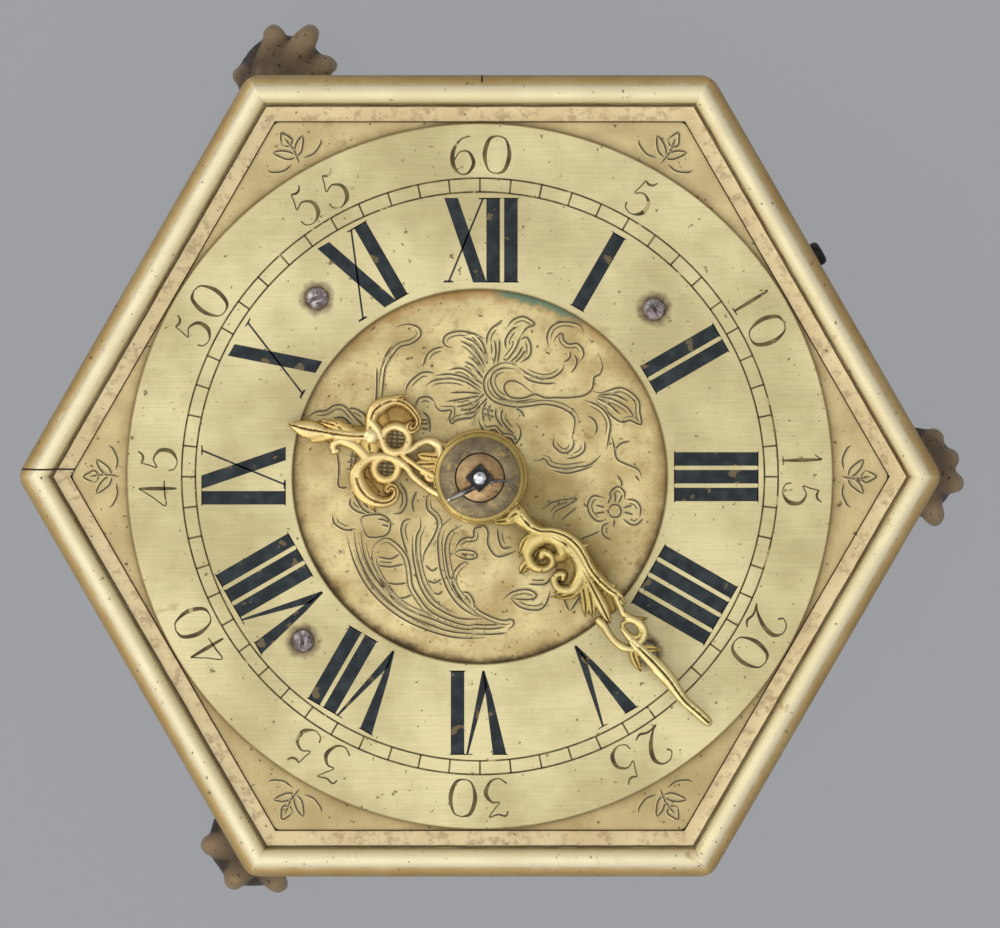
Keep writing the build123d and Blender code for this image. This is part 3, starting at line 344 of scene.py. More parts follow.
@dataclass(frozen=True)
class AgedMetal:
    """A worked metal skin, base of the clock's metal finishes.

    It has two tones in soft clouds, fine drawn lines, duller stains, dark specks and pits, and dirt with
    painted shade where the shape is hollow."""
    name: str
    fresh: str = "#F2DFA6"
    worn: str = "#C3A768"
    # dark colour of the dirt specks, also used for the painted shade in hollows
    grime_and_shade: str = "#4A3A1C"
    stain: str = "#A87A3C"
    cloud: float = 8.0
    speck: float = 0.9
    specks: float = 0.66
    stains: float = 0.60
    streak: Point = (0.35, 7.0)
    streak_turn: float = 28.0
    streak_depth: float = 0.10
    metallic: float = 0.82
    rough: float = 0.36
    hollow: float = 1.4
    pitting: float = 0.03

    def tint(self, tree: Tree, at: Socket, colour: Socket) -> Socket:
        """Adds what only this surface has. The base adds nothing."""
        return colour

    def build(self) -> Skin:
        """Makes the material.

        Returns:
            The material.
        """
        material, tree, at = blank(self.name)
        cloud = add(tree, "ShaderNodeTexNoise", {
            "Vector": at, "Scale": per(self.cloud), "Detail": 6.0, "Roughness": 0.62}).outputs[0]
        colour = lay(tree, linear(self.worn), self.fresh, (cloud, 0.38, 0.62))
        laid = add(tree, "ShaderNodeMapping", {
            "Vector": at, "Rotation": (0, 0, math.radians(self.streak_turn)),
            "Scale": (per(self.streak[1]), per(self.streak[0]), per(1.0))}).outputs[0]
        drawn = add(tree, "ShaderNodeTexNoise", {"Vector": laid, "Scale": 1.0, "Detail": 3.0}).outputs[0]
        lines = add(tree, "ShaderNodeMapRange", {
            0: drawn, 1: 0.35, 2: 0.65, 3: 1 - self.streak_depth, 4: 1 + self.streak_depth * 0.6})
        colour = add(tree, "ShaderNodeMix", {0: 1.0, 6: colour, 7: lines.outputs[0]}, data_type="RGBA",
                     blend_type="MULTIPLY").outputs[2]
        blots = risen(tree, at, self.cloud * 0.7, self.stains, self.stains + 0.1, 0.75, 5.0, 0.7, 0.6)
        colour = self.tint(tree, at, lay(tree, colour, self.stain, blots))
        dots = risen(tree, at, self.speck, self.specks, self.specks + 0.06, 0.8, 2.0)
        colour = lay(tree, colour, self.grime_and_shade, dots)
        # dirt and painted shade: ambient occlusion darkens the hollows towards the dark dirt colour
        shade = add(tree, "ShaderNodeAmbientOcclusion", {"Distance": self.hollow * MM}, samples=6)
        colour = lay(tree, colour, self.grime_and_shade, (shade.outputs["AO"], 0.45, 0.85, 0.85, 0.0))
        even = add(tree, "ShaderNodeMapRange", {
            0: cloud, 1: 0.3, 2: 0.7, 3: self.rough + 0.09, 4: self.rough - 0.05})
        dull = add(tree, "ShaderNodeMath", {0: blots, 1: 0.22, 2: even.outputs[0]},
                   operation="MULTIPLY_ADD")
        rise = add(tree, "ShaderNodeMath", {0: dots, 1: -1.0, 2: drawn}, operation="MULTIPLY_ADD")
        bump = add(tree, "ShaderNodeBump",
                   {"Height": rise.outputs[0], "Distance": self.pitting * MM, "Strength": 0.35})
        shader = add(tree, "ShaderNodeBsdfPrincipled", {
            "Base Color": colour, "Metallic": self.metallic, "Roughness": dull.outputs[0],
            "Normal": bump.outputs[0]})
        add(tree, "ShaderNodeOutputMaterial", {"Surface": shader.outputs[0]})
        return material


@dataclass(frozen=True)
class GiltMoulding(AgedMetal):
    """Fire-gilt brass, polished by hand: bright on the roll, brown patina and painted shade in its groove,
    painted shade on its outer edge.
    """
    inner_edge: float = 53.0
    outer_edge: float = 61.0
    # colours across the moulding from its inner edge out; the near-black groove stops are brown patina with
    # painted shade, and the brown outer stops are painted shade where the roll falls away
    profile: tuple[tuple[float, str], ...] = (
        (0.0, "#80653C"), (0.05, "#D8C294"), (0.285, "#E8D6AA"), (0.31, "#9A8050"), (0.322, "#4E3D1E"),
        (0.345, "#5A4722"), (0.362, "#E2D1A0"), (0.40, "#F2E4B6"), (0.68, "#FAEFC8"), (0.74, "#BC9C62"),
        (0.82, "#A0824C"), (1.0, "#8E723C"))

    def tint(self, tree: Tree, at: Socket, colour: Socket) -> Socket:
        """Colours the profile by its distance from the case's middle, then its rubs, burns, seam and nick.

        Args:
            tree: the shader tree.
            at: the Object coordinates.
            colour: the metal's colour so far.
        Returns:
            The colour.
        """
        best = None
        for deg in (30, 90, 150):
            way = (math.cos(math.radians(deg)) * 1000, math.sin(math.radians(deg)) * 1000, 0)
            dot = add(tree, "ShaderNodeVectorMath", {0: at, 1: way},
                      operation="DOT_PRODUCT").outputs["Value"]
            out = add(tree, "ShaderNodeMath", {0: dot}, operation="ABSOLUTE").outputs[0]
            if best is None:
                best = out
            else:
                best = add(tree, "ShaderNodeMath", {0: best, 1: out}, operation="MAXIMUM").outputs[0]
        wave = add(tree, "ShaderNodeTexNoise", {"Vector": at, "Scale": per(2.6), "Detail": 4.0})
        sway = add(tree, "ShaderNodeMath", {0: wave.outputs[0], 1: 0.4, 2: best}, operation="MULTIPLY_ADD")
        place = add(tree, "ShaderNodeMapRange", {
            0: sway.outputs[0], 1: self.inner_edge, 2: self.outer_edge}).outputs[0]
        zone = add(tree, "ShaderNodeValToRGB", {0: place}, stops=self.profile)
        colour = add(tree, "ShaderNodeMix", {0: 0.8, 6: colour, 7: zone.outputs[0]},
                     data_type="RGBA").outputs[2]
        rubs = risen(tree, at, 1.4, 0.50, 0.64, 0.62, 4.0, 0.6)
        colour = lay(tree, colour, "#A68C66", rubs, (place, 0.30, 0.28))
        colour = lay(tree, colour, "#B08646", risen(tree, at, 6.0, 0.62, 0.72, 0.7, 6.0, 0.68, 1.2))
        side = add(tree, "ShaderNodeSeparateXYZ", {0: at})
        # the open mitre at the left corner, and the nick in the top edge
        for along, sign, limit, across, middle in (
                (0, 1.0, -0.0600, 1, 0.0011), (1, -1.0, -0.0588, 0, 0.0003)):
            reach = add(tree, "ShaderNodeMath", {0: side.outputs[along], 1: sign}, operation="MULTIPLY")
            there = add(tree, "ShaderNodeMath", {0: reach.outputs[0], 1: limit}, operation="LESS_THAN")
            line = add(tree, "ShaderNodeMath", {0: side.outputs[across], 1: middle, 2: 0.00014},
                       operation="COMPARE")
            colour = lay(tree, colour, "#2E2412", there.outputs[0], line.outputs[0])
        return colour


@dataclass(frozen=True)
class ChapterBrass(AgedMetal):
    """Pale gilt brass, stoned and brushed flat: a green-cream sheen with rust halos round its screws."""

    def tint(self, tree: Tree, at: Socket, colour: Socket) -> Socket:
        """Paints the rust halos and a painted shade along the inner rim.

        Args:
            tree: the shader tree.
            at: the Object coordinates.
            colour: the metal's colour so far.
        Returns:
            The colour.
        """
        flat, radius = in_mm(tree, at)
        near = None
        for x, y in screw_spots():
            far = add(tree, "ShaderNodeVectorMath", {0: flat, 1: (x, y, 0)},
                      operation="DISTANCE").outputs["Value"]
            if near is None:
                near = far
            else:
                near = add(tree, "ShaderNodeMath", {0: near, 1: far}, operation="MINIMUM").outputs[0]
        fray = add(tree, "ShaderNodeTexNoise", {"Vector": at, "Scale": per(1.1), "Detail": 4.0})
        edge = add(tree, "ShaderNodeMath", {0: fray.outputs[0], 1: 1.6, 2: near}, operation="MULTIPLY_ADD")
        colour = lay(tree, colour, "#4A3222", (edge.outputs[0], 2.5, 3.7, 0.85, 0.0))
        # painted shade: a dark olive band along the ring's inner edge
        return lay(tree, colour, "#7A6A34", (radius, 28.35, 28.0, 0.0, 0.5))


@dataclass(frozen=True)
class EngravedBrass(AgedMetal):
    """Gilt brass plate cut with a graver: brown patina and painted shadow against the ring, a little
    verdigris at its top.
    """

    def tint(self, tree: Tree, at: Socket, colour: Socket) -> Socket:
        """Paints the patina by radius and side, a painted shadow at the ring's lower edge, the verdigris and
        the corners, whose patina carries painted shade.

        Args:
            tree: the shader tree.
            at: the Object coordinates.
            colour: the metal's colour so far.
        Returns:
            The colour.
        """
        flat, radius = in_mm(tree, at)
        side = add(tree, "ShaderNodeSeparateXYZ", {0: flat})
        fray = add(tree, "ShaderNodeTexNoise", {
            "Vector": at, "Scale": per(3.2), "Detail": 5.0, "Roughness": 0.65}).outputs[0]
        inside = add(tree, "ShaderNodeMath", {0: radius, 1: 31.0}, operation="LESS_THAN").outputs[0]
        ragged = add(tree, "ShaderNodeMath", {0: fray, 1: 3.4, 2: radius},
                     operation="MULTIPLY_ADD").outputs[0]
        edge = add(tree, "ShaderNodeMath", {0: ragged, 1: inside}, operation="MULTIPLY").outputs[0]
        # worn and brown patches: hue, spot, radius of the core, radius where it ends, share
        for hue, spot, core, fade, share in (
                ("#86703A", (8.5, -3.5), 2.0, 9.5, 0.85), ("#8E763F", (17.0, -12.0), 2.0, 7.5, 0.75),
                ("#9C8450", (-12.0, 2.0), 1.0, 8.0, 0.55), ("#DCCB93", (2.0, 22.0), 3.0, 12.0, 0.6)):
            far = add(tree, "ShaderNodeVectorMath", {0: flat, 1: (*spot, 0)}, operation="DISTANCE")
            torn = add(tree, "ShaderNodeMath", {0: fray, 1: 9.0, 2: far.outputs["Value"]},
                       operation="MULTIPLY_ADD")
            colour = lay(tree, colour, hue, (torn.outputs[0], core + 4.5, fade + 4.5, share, 0.0))
        colour = lay(tree, colour, "#927A46", risen(tree, at, 1.5, 0.50, 0.66, 0.55, 5.0, 0.6))
        colour = lay(tree, colour, "#8A6E40", (edge, 27.6, 30.0, 0.0, 0.85))
        # painted shadow with patina: dark brown at the plate's edge by the ring, more towards the bottom
        colour = lay(tree, colour, "#3E2E12", (side.outputs[1], 6.0, -16.0), (edge, 28.6, 29.8))
        colour = lay(tree, colour, "#A87C3C", (side.outputs[1], 18.0, 24.0), (edge, 27.6, 29.4, 0.0, 0.6))
        salt = add(tree, "ShaderNodeTexNoise", {"Vector": at, "Scale": per(1.6), "Detail": 4.0})
        crust = add(tree, "ShaderNodeMath", {0: salt.outputs[0], 1: 2.2, 2: radius},
                    operation="MULTIPLY_ADD")
        colour = lay(tree, colour, "#5F7F66", (crust.outputs[0], 27.7, 28.4, 0.0, 0.9),
                     (side.outputs[1], 22.5, 24.5), (side.outputs[0], 1.5, 4.0), inside)
        outside = (radius, 52.0, 52.6, 0.0, 0.55)
        colour = lay(tree, colour, "#C6B384", outside)
        # the corners darken towards the bottom and along their inner side: patina with painted shade
        colour = lay(tree, colour, "#96804F", outside, (side.outputs[1], 20.0, -50.0, 0.1, 0.7))
        return lay(tree, colour, "#7A5E34", outside, (ragged, 54.3, 56.2, 0.85, 0.0))


@dataclass(frozen=True)
class CutLine(EngravedBrass):
    """The same plate where the graver went: a painted highlight on the lips, dirt in the bottom of the cut.
    """

    def tint(self, tree: Tree, at: Socket, colour: Socket) -> Socket:
        """Lightens the lips as a painted highlight and darkens the bottom of the cut with dirt, by the
        mesh's own attribute.

        Args:
            tree: the shader tree.
            at: the Object coordinates.
            colour: the metal's colour so far.
        Returns:
            The colour.
        """
        colour = super().tint(tree, at, colour)
        cut = add(tree, "ShaderNodeAttribute", attribute_name="cut").outputs["Fac"]
        # painted highlight on the lips of the cut
        colour = lay(tree, colour, "#F4E6B6", (cut, 0.0, 0.28, 0.0, 0.45))
        return lay(tree, colour, "#4A3A18", (cut, 0.30, 0.64, 0.0, 0.94))


@dataclass(frozen=True)
class Chased(AgedMetal):
    """Cast and chased metal: a painted highlight on the high leaves and knuckles, brown dirt and painted
    shade in the chasing.
    """
    ramp: tuple[tuple[float, str], ...] = ()

    def tint(self, tree: Tree, at: Socket, colour: Socket) -> Socket:
        """Paints highlight and shade by the height of the relief, kept on the mesh.

        Args:
            tree: the shader tree.
            at: the Object coordinates; not used.
            colour: the metal's colour so far.
        Returns:
            The colour.
        """
        # painted light: the ramp turns the relief height into painted shade low down and a painted highlight
        # high up
        relief = add(tree, "ShaderNodeAttribute", attribute_name="relief")
        zone = add(tree, "ShaderNodeValToRGB", {0: relief.outputs["Fac"]}, stops=self.ramp)
        return add(tree, "ShaderNodeMix", {0: 0.75, 6: colour, 7: zone.outputs[0]},
                   data_type="RGBA").outputs[2]


@dataclass(frozen=True)
class SealingWax:
    """Blue-black wax run into the cut numerals and rubbed level: low gloss, worn through in spots."""
    name: str
    body: str = "#1B2226"
    thin: str = "#31393B"
    ground: str = "#6C5C40"
    lost: float = 0.64

    def build(self) -> Skin:
        """Makes the material.

        Returns:
            The material.
        """
        material, tree, at = blank(self.name)
        cloud = add(tree, "ShaderNodeTexNoise", {"Vector": at, "Scale": per(1.8), "Detail": 4.0}).outputs[0]
        colour = lay(tree, linear(self.body), self.thin, (cloud, 0.42, 0.68))
        colour = lay(tree, colour, self.ground, risen(tree, at, 2.6, self.lost, self.lost + 0.02, 1.0, 3.0))
        bump = add(tree, "ShaderNodeBump", {"Height": cloud, "Distance": 0.03 * MM, "Strength": 0.4})
        shader = add(tree, "ShaderNodeBsdfPrincipled", {
            "Base Color": colour, "Roughness": 0.52, "IOR": 1.45, "Specular IOR Level": 0.3,
            "Normal": bump.outputs[0]})
        add(tree, "ShaderNodeOutputMaterial", {"Surface": shader.outputs[0]})
        return material


@dataclass(frozen=True)
class WindowGlass:
    """Old crown glass, blown: clear, faintly green, with a slow ripple and a little dust."""
    name: str = "crown_glass"
    body: str = "#E6EEE8"

    def build(self) -> Skin:
        """Makes the material.

        Returns:
            The material.
        """
        material, tree, at = blank(self.name)
        ripple = add(tree, "ShaderNodeTexNoise", {"Vector": at, "Scale": per(9.0), "Detail": 1.0})
        dust = add(tree, "ShaderNodeTexNoise", {"Vector": at, "Scale": per(1.5), "Detail": 4.0})
        haze = add(tree, "ShaderNodeMapRange", {0: dust.outputs[0], 1: 0.45, 2: 0.75, 3: 0.02, 4: 0.14})
        bump = add(tree, "ShaderNodeBump",
                   {"Height": ripple.outputs[0], "Distance": 0.05 * MM, "Strength": 0.3})
        shader = add(tree, "ShaderNodeBsdfPrincipled", {
            "Base Color": linear(self.body), "Roughness": haze.outputs[0], "IOR": 1.5,
            "Transmission Weight": 1.0, "Normal": bump.outputs[0]})
        add(tree, "ShaderNodeOutputMaterial", {"Surface": shader.outputs[0]})
        return material


@dataclass(frozen=True)
class Drawn:
    """One limb of a carved hand: its crest height, whether it has a vein, and its path.

    The path gives along, across and width of each point in hundredths of a millimetre."""
    level: float
    vein: bool
    path: tuple[int, ...]

    def points(self) -> list[tuple[float, ...]]:
        """The path's (along, across, width) points in mm."""
        sizes = [size / 100 for size in self.path]
        return list(zip(sizes[::3], sizes[1::3], sizes[2::3]))


# Sub-assemblies

DIAL_SCREWS = (43.9, 132.4, 222.8, 313.5)
SLOT_TURNS = (-48, 20, 88, -15)
SCREW_CIRCLE = 36.1
RING_TOP = 67.0
DIAL_TOP = 66.0


def screw_spots() -> list[Point]:
    """Places of the four ring screws on the dial in mm."""
    turns = [math.radians(deg) for deg in DIAL_SCREWS]
    return [(SCREW_CIRCLE * math.cos(a), SCREW_CIRCLE * math.sin(a)) for a in turns]


@dataclass
class Dial:
    """Chapter ring's numerals, minute track, engraved plates and ring screws."""
    wax: Skin
    thin_wax: Skin
    cut: Skin
    screw: Skin
    roman_low: float = 29.0
    roman_high: float = 41.6
    bar: float = 2.0
    hairline: float = 0.28
    pitch: float = 2.65
    digit_low: float = 45.35
    digit_high: float = 50.95
    digit_wide: float = 4.1
    digit_pitch: float = 5.1
    digit_ring: float = 48.0
    track: Point = (42.5, 44.55)
    track_line: float = 0.24
    track_deep: float = 0.04
    inlay: float = 0.03
    cut_wide: float = 0.60
    fine_wide: float = 0.34
    apart: float = 0.62
    lip: float = 0.055
    cut_step: float = 0.3
    head_radius: float = 1.72
    head_rise: float = 0.92
    slot: float = 0.57

    def place(self, x: float, r: float, deg: float) -> Point:
        """Turns (across, out from the centre) of a numeral at this angle into dial x and y."""
        a = math.radians(deg)
        return r * math.cos(a) + x * math.sin(a), r * math.sin(a) - x * math.cos(a)

    def roman_strokes(self, text: str) -> list[np.ndarray]:
        """Outlines of one Roman hour in (across, out) sizes.

        Args:
            text: the numeral.
        Returns:
            Closed outlines.
        """
        lo, hi, b, h, p = self.roman_low, self.roman_high, self.bar / 2, self.hairline / 2, self.pitch
        over = b + 0.28
        widths = {"I": p, "V": 6.4, "X": 6.3}
        x = -sum(widths[c] for c in text) / 2 + (0.5 if text[0] in "XV" and len(text) > 1 else 0)
        shapes = []

        def serif(cx: float, r: float, half: float, up: float) -> None:
            """Adds a serif about cx at this height, thick towards up."""
            shapes.append(np.array([(cx - half, r), (cx + half, r), (cx + half - 0.25, r + up),
                                    (cx - half + 0.25, r + up)]))

        for n, c in enumerate(text):
            if c == "I":
                cx = x + p / 2
                shapes.append(np.array([(cx - b, lo), (cx + b, lo), (cx + b, hi), (cx - b, hi)]))
                serif(cx, lo, over, 0.16)
                serif(cx, hi, over, -0.16)
            elif c == "V":
                ax, left, right = x + 3.6, x + 1.05, x + 5.95
                shapes.append(np.array([(ax, lo), (left + b, hi), (left - b, hi), (ax - 1.35, lo + 3.6),
                                        (ax - 0.25, lo)]))
                shapes.append(np.array([(ax - 0.12, lo), (ax + 0.1, lo + 0.1), (right + h, hi),
                                        (right - h, hi), (ax - 0.6, lo + 2.4)]))
                serif(left, hi, over, -0.16)
                serif(right, hi, 0.9, -0.14)
            else:
                left, right = x + 1.0, x + 5.3
                shapes.append(np.array([(right - b, lo), (right + b, lo), (left + b, hi), (left - b, hi)]))
                shapes.append(np.array([(left - h - 0.4, lo), (left + h - 0.4, lo), (right + h + 0.5, hi),
                                        (right - h + 0.5, hi)]))
                serif(left - 0.4, lo, 0.8, 0.3)
                serif(right + 0.5, hi, 0.8, -0.2)
            x += widths[c] - (0.7 if c in "XV" else 0) + (0.35 if c in "XV" and n + 1 < len(text) else 0)
        return shapes

    def digit_strokes(self, digit: str) -> list[list[tuple[float, float, float]]]:
        """Pen strokes of an engraved round-hand digit.

        Args:
            digit: 0 to 6.
        Returns:
            Strokes of (x, y, width) in a unit box, widths in mm.
        """
        t, f = 0.17, 0.62
        return {
            "0": [[(0.5, 1, t), (0.2, 0.9, f * 0.8), (0.05, 0.5, f), (0.2, 0.1, t * 1.4), (0.5, 0, t),
                   (0.8, 0.1, f * 0.8), (0.95, 0.5, f), (0.8, 0.9, t * 1.4), (0.5, 1, t)]],
            "1": [[(0.36, 0.86, t), (0.48, 0.97, t), (0.53, 1, 0.3), (0.52, 0.5, f * 0.85),
                   (0.5, 0.0, 0.3)], [(0.36, 0, t), (0.66, 0, t)]],
            "2": [[(0.2, 0.72, 0.3), (0.1, 0.84, t), (0.3, 1, t), (0.62, 0.99, 0.25), (0.8, 0.78, f),
                   (0.66, 0.45, f), (0.3, 0.13, 0.3), (0.05, 0.02, t)],
                  [(0.05, 0.02, t), (0.45, 0.07, 0.3), (0.75, 0.0, 0.34), (0.98, 0.08, t)]],
            "3": [[(0.12, 0.86, t), (0.22, 0.99, 0.25), (0.5, 0.94, 0.24), (0.82, 1.0, t), (0.62, 0.8, t),
                   (0.42, 0.62, t), (0.7, 0.6, 0.3), (0.9, 0.36, f), (0.72, 0.06, 0.35), (0.4, -0.02, t),
                   (0.12, 0.12, 0.24)]],
            "4": [[(0.72, 1, t), (0.4, 0.66, t), (0.05, 0.32, t), (0.5, 0.32, 0.24), (0.97, 0.32, t)],
                  [(0.72, 1, 0.3), (0.69, 0.5, f * 0.9), (0.66, 0, 0.3)]],
            "5": [[(0.34, 0.93, t), (0.28, 0.72, t), (0.22, 0.52, t), (0.52, 0.62, 0.22),
                   (0.84, 0.46, f * 0.8), (0.82, 0.16, f), (0.5, -0.01, t), (0.2, 0.05, t),
                   (0.12, 0.2, 0.22)],
                  [(0.34, 0.95, t), (0.5, 0.9, 0.36), (0.66, 0.93, 0.3), (0.76, 1.04, t)]],
            "6": [[(0.8, 0.98, t), (0.45, 0.9, 0.24), (0.16, 0.6, f * 0.9), (0.13, 0.25, f),
                   (0.35, 0.0, t), (0.65, 0.0, 0.3), (0.88, 0.26, f * 0.9), (0.72, 0.56, 0.3),
                   (0.4, 0.57, t), (0.18, 0.36, t)]],
        }[digit]

    def numerals(self) -> tuple[Piece, Piece]:
        """Wax-filled hours and finely engraved minutes, flush with the ring.

        Returns:
            The hours and the minutes.
        """
        outlines, fine = [], []
        for hour, text in enumerate(("I", "II", "III", "IIII", "V", "VI", "VII", "VIII", "IX", "X", "XI",
                                     "XII"), 1):
            for shape in self.roman_strokes(text):
                outlines.append(np.array([self.place(x, r, 90 - 30 * hour) for x, r in shape]))
        tall = self.digit_high - self.digit_low
        for five in range(1, 13):
            text = str(five * 5)
            for n, digit in enumerate(text):
                along = (n - (len(text) - 1) / 2) * self.digit_pitch
                turn = 90 - 30 * five - math.degrees(along / self.digit_ring)
                for pen in self.digit_strokes(digit):
                    sized = [((x - 0.5) * self.digit_wide, self.digit_low + y * tall, w) for x, y, w in pen]
                    rows = smooth_line(sized, 5)
                    fine.append(np.array([self.place(x, r, turn) for x, r in brushed_outline(rows)]))
        return (prisms("hour_numerals", outlines, RING_TOP - 0.01, RING_TOP + self.inlay, self.wax),
                prisms("minute_numerals", fine, RING_TOP - 0.01, RING_TOP + self.inlay, self.thin_wax))

    def minute_track(self) -> Piece:
        """Two engraved circles with sixty cross lines.

        Returns:
            The track.
        """
        tree, given, end = new_tree("minute_track", {
            "Minutes": 60, "Inner": self.track[0] * MM, "Outer": self.track[1] * MM,
            "Line": self.track_line * MM, "Height": (RING_TOP + self.inlay - 0.018) * MM})
        size = add(tree, "ShaderNodeCombineXYZ", {1: given["Line"], 2: self.track_deep * MM})
        long = add(tree, "ShaderNodeMath", {0: given["Outer"], 1: given["Inner"]}, operation="SUBTRACT")
        tree.links.new(long.outputs[0], size.inputs[0])
        middle = add(tree, "ShaderNodeMath", {0: given["Outer"], 1: given["Inner"]}, operation="ADD")
        half = add(tree, "ShaderNodeMath", {0: middle.outputs[0], 1: 0.5}, operation="MULTIPLY")
        dots = add(tree, "GeometryNodeMeshCircle",
                   {"Vertices": given["Minutes"], "Radius": half.outputs[0]})
        bar = add(tree, "GeometryNodeMeshCube", {"Size": size.outputs[0]})
        spot = add(tree, "GeometryNodeInputPosition")
        aim = add(tree, "FunctionNodeAlignRotationToVector", {"Vector": spot.outputs[0]}, axis="X")
        ticks = add(tree, "GeometryNodeInstanceOnPoints",
                    {"Points": dots.outputs[0], "Instance": bar.outputs[0], "Rotation": aim.outputs[0]})
        parts = [ticks.outputs[0]]
        for radius in ("Inner", "Outer"):
            ring = add(tree, "GeometryNodeCurvePrimitiveCircle",
                       {"Resolution": 240, "Radius": given[radius]})
            shape = add(tree, "GeometryNodeCurvePrimitiveQuadrilateral",
                        {"Width": given["Line"], "Height": self.track_deep * MM})
            parts.append(add(tree, "GeometryNodeCurveToMesh",
                             {"Curve": ring.outputs[0], "Profile Curve": shape.outputs[0]}).outputs[0])
        joined = tree.nodes.new("GeometryNodeJoinGeometry")
        for part in parts:
            tree.links.new(part, joined.inputs[0])
        up = add(tree, "ShaderNodeCombineXYZ", {2: given["Height"]})
        lifted = add(tree, "GeometryNodeTransform",
                     {"Geometry": joined.outputs[0], "Translation": up.outputs[0]})
        finish_tree(tree, end, lifted.outputs[0], self.thin_wax)
        return grown("minute_track", bpy.data.meshes.new("track_start"), tree)

    def engraving(self, name: str, lines: Sequence[Sequence[Point]], wide: float) -> Piece:
        """Lays graver cuts along drawn lines.

        Args:
            name: the piece's name.
            lines: the drawn lines in mm.
            wide: width of a cut in mm.
        Returns:
            The cuts as one mesh.
        """
        curve = bpy.data.curves.new(name, "CURVE")
        curve.dimensions = "3D"
        for line in lines:
            rows = smooth_line(line, 5)
            spline = curve.splines.new("POLY")
            spline.points.add(len(rows) - 1)
            for point, (x, y) in zip(spline.points, rows):
                point.co = (x * MM, y * MM, DIAL_TOP * MM, 1)
        tree, given, end = new_tree("graver_cut", {"Width": wide * MM, "Lip": self.lip * MM})
        even = add(tree, "GeometryNodeResampleCurve",
                   {"Curve": given["Geometry"], "Length": self.cut_step * MM}, mode="LENGTH")
        upright = add(tree, "GeometryNodeSetCurveNormal", {0: even.outputs[0]}, mode="Z_UP")
        run = add(tree, "GeometryNodeSplineParameter")
        back = add(tree, "ShaderNodeMath", {0: 1.0, 1: run.outputs["Factor"]}, operation="SUBTRACT")
        nearer = add(tree, "ShaderNodeMath", {0: run.outputs["Factor"], 1: back.outputs[0]},
                     operation="MINIMUM")
        taper = add(tree, "ShaderNodeMapRange", {0: nearer.outputs[0], 1: 0.0, 2: 0.16, 3: 0.25, 4: 1.0})
        half = add(tree, "ShaderNodeMath", {0: given["Width"], 1: 0.5}, operation="MULTIPLY")
        less = add(tree, "ShaderNodeMath", {0: half.outputs[0], 1: -1.0}, operation="MULTIPLY")
        left = add(tree, "ShaderNodeCombineXYZ", {0: less.outputs[0]})
        right = add(tree, "ShaderNodeCombineXYZ", {0: half.outputs[0]})
        across = add(tree, "GeometryNodeCurvePrimitiveLine",
                     {"Start": left.outputs[0], "End": right.outputs[0]})
        cells = add(tree, "GeometryNodeResampleCurve", {"Curve": across.outputs[0], "Count": 7},
                    mode="COUNT")
        share = add(tree, "GeometryNodeSplineParameter")
        twice = add(tree, "ShaderNodeMath", {0: share.outputs["Factor"], 1: 2.0, 2: -1.0},
                    operation="MULTIPLY_ADD")
        out = add(tree, "ShaderNodeMath", {0: twice.outputs[0]}, operation="ABSOLUTE")
        inn = add(tree, "ShaderNodeMath", {0: 1.0, 1: out.outputs[0]}, operation="SUBTRACT")
        hump = add(tree, "ShaderNodeMath", {0: out.outputs[0], 1: inn.outputs[0]}, operation="MULTIPLY")
        # times four, because the hump peaks at a quarter, and minus, because the profile's y points down
        lip = add(tree, "ShaderNodeMath", {0: given["Lip"], 1: -4.0}, operation="MULTIPLY")
        rise = add(tree, "ShaderNodeMath", {0: hump.outputs[0], 1: lip.outputs[0]}, operation="MULTIPLY")
        offset = add(tree, "ShaderNodeCombineXYZ", {1: rise.outputs[0]})
        shaped = add(tree, "GeometryNodeSetPosition",
                     {"Geometry": cells.outputs[0], "Offset": offset.outputs[0]})
        marked = add(tree, "GeometryNodeStoreNamedAttribute",
                     {"Geometry": shaped.outputs[0], "Name": "cut"}, data_type="FLOAT", domain="POINT")
        tree.links.new(inn.outputs[0], next(s for s in marked.inputs if s.name == "Value" and s.enabled))
        swept = add(tree, "GeometryNodeCurveToMesh", {
            "Curve": upright.outputs[0], "Profile Curve": marked.outputs[0], "Scale": taper.outputs[0]})
        finish_tree(tree, end, swept.outputs[0], self.cut)
        made = grown(name, curve, tree)
        made.data.polygons.foreach_set("use_smooth", [True] * len(made.data.polygons))
        # a hair above the plate, so that the bottom of the cut stays clear of it
        made.data.transform(Matrix.Translation((0, 0, 0.004 * MM)))
        LOG.info("%s: %d cuts", name, len(lines))
        return made

    def companions(self, lines: Sequence[Sequence[Point]]) -> list[list[Point]]:
        """Second, finer cuts along the hollow side of the longer curved lines, as an engraver shades a leaf.

        Args:
            lines: the drawn lines in mm.
        Returns:
            Short lines in mm.
        """
        cuts = []
        for line in lines:
            rows = smooth_line(line, 6)
            step = np.gradient(rows, axis=0)
            step /= np.maximum(np.linalg.norm(step, axis=1), 1e-9)[:, None]
            normal = np.stack([-step[:, 1], step[:, 0]], 1)
            bend = np.sum(step[:-1, 0] * step[1:, 1] - step[:-1, 1] * step[1:, 0])
            run = np.linalg.norm(np.diff(rows, axis=0), axis=1).sum()
            if run < 3.6 or abs(bend) < 0.25 or abs(bend) > 4.6:
                continue
            first, last = int(len(rows) * 0.12), int(len(rows) * 0.82)
            beside = rows + normal * math.copysign(self.apart, bend)
            cuts.append([tuple(q) for q in beside[first:last:3]])
        return [cut for cut in cuts if len(cut) > 2]

    def hatching(self) -> list[list[Point]]:
        """Crossed shading on the plate where it shows through the hour hand's two rings.

        Returns:
            Short lines in mm.
        """
        cuts = []
        for x, y in ((-12.5, 5.6), (-14.0, 1.3)):
            for rise in (-1.2, -0.6, 0.0, 0.6, 1.2):
                cuts.append([(x - 1.3, y + rise + 0.1), (x, y + rise), (x + 1.3, y + rise - 0.1)])
            for step in (-0.6, 0.2):
                cuts.append([(x + step, y + 1.4), (x + step - 0.05, y), (x + step - 0.1, y - 1.4)])
        return cuts

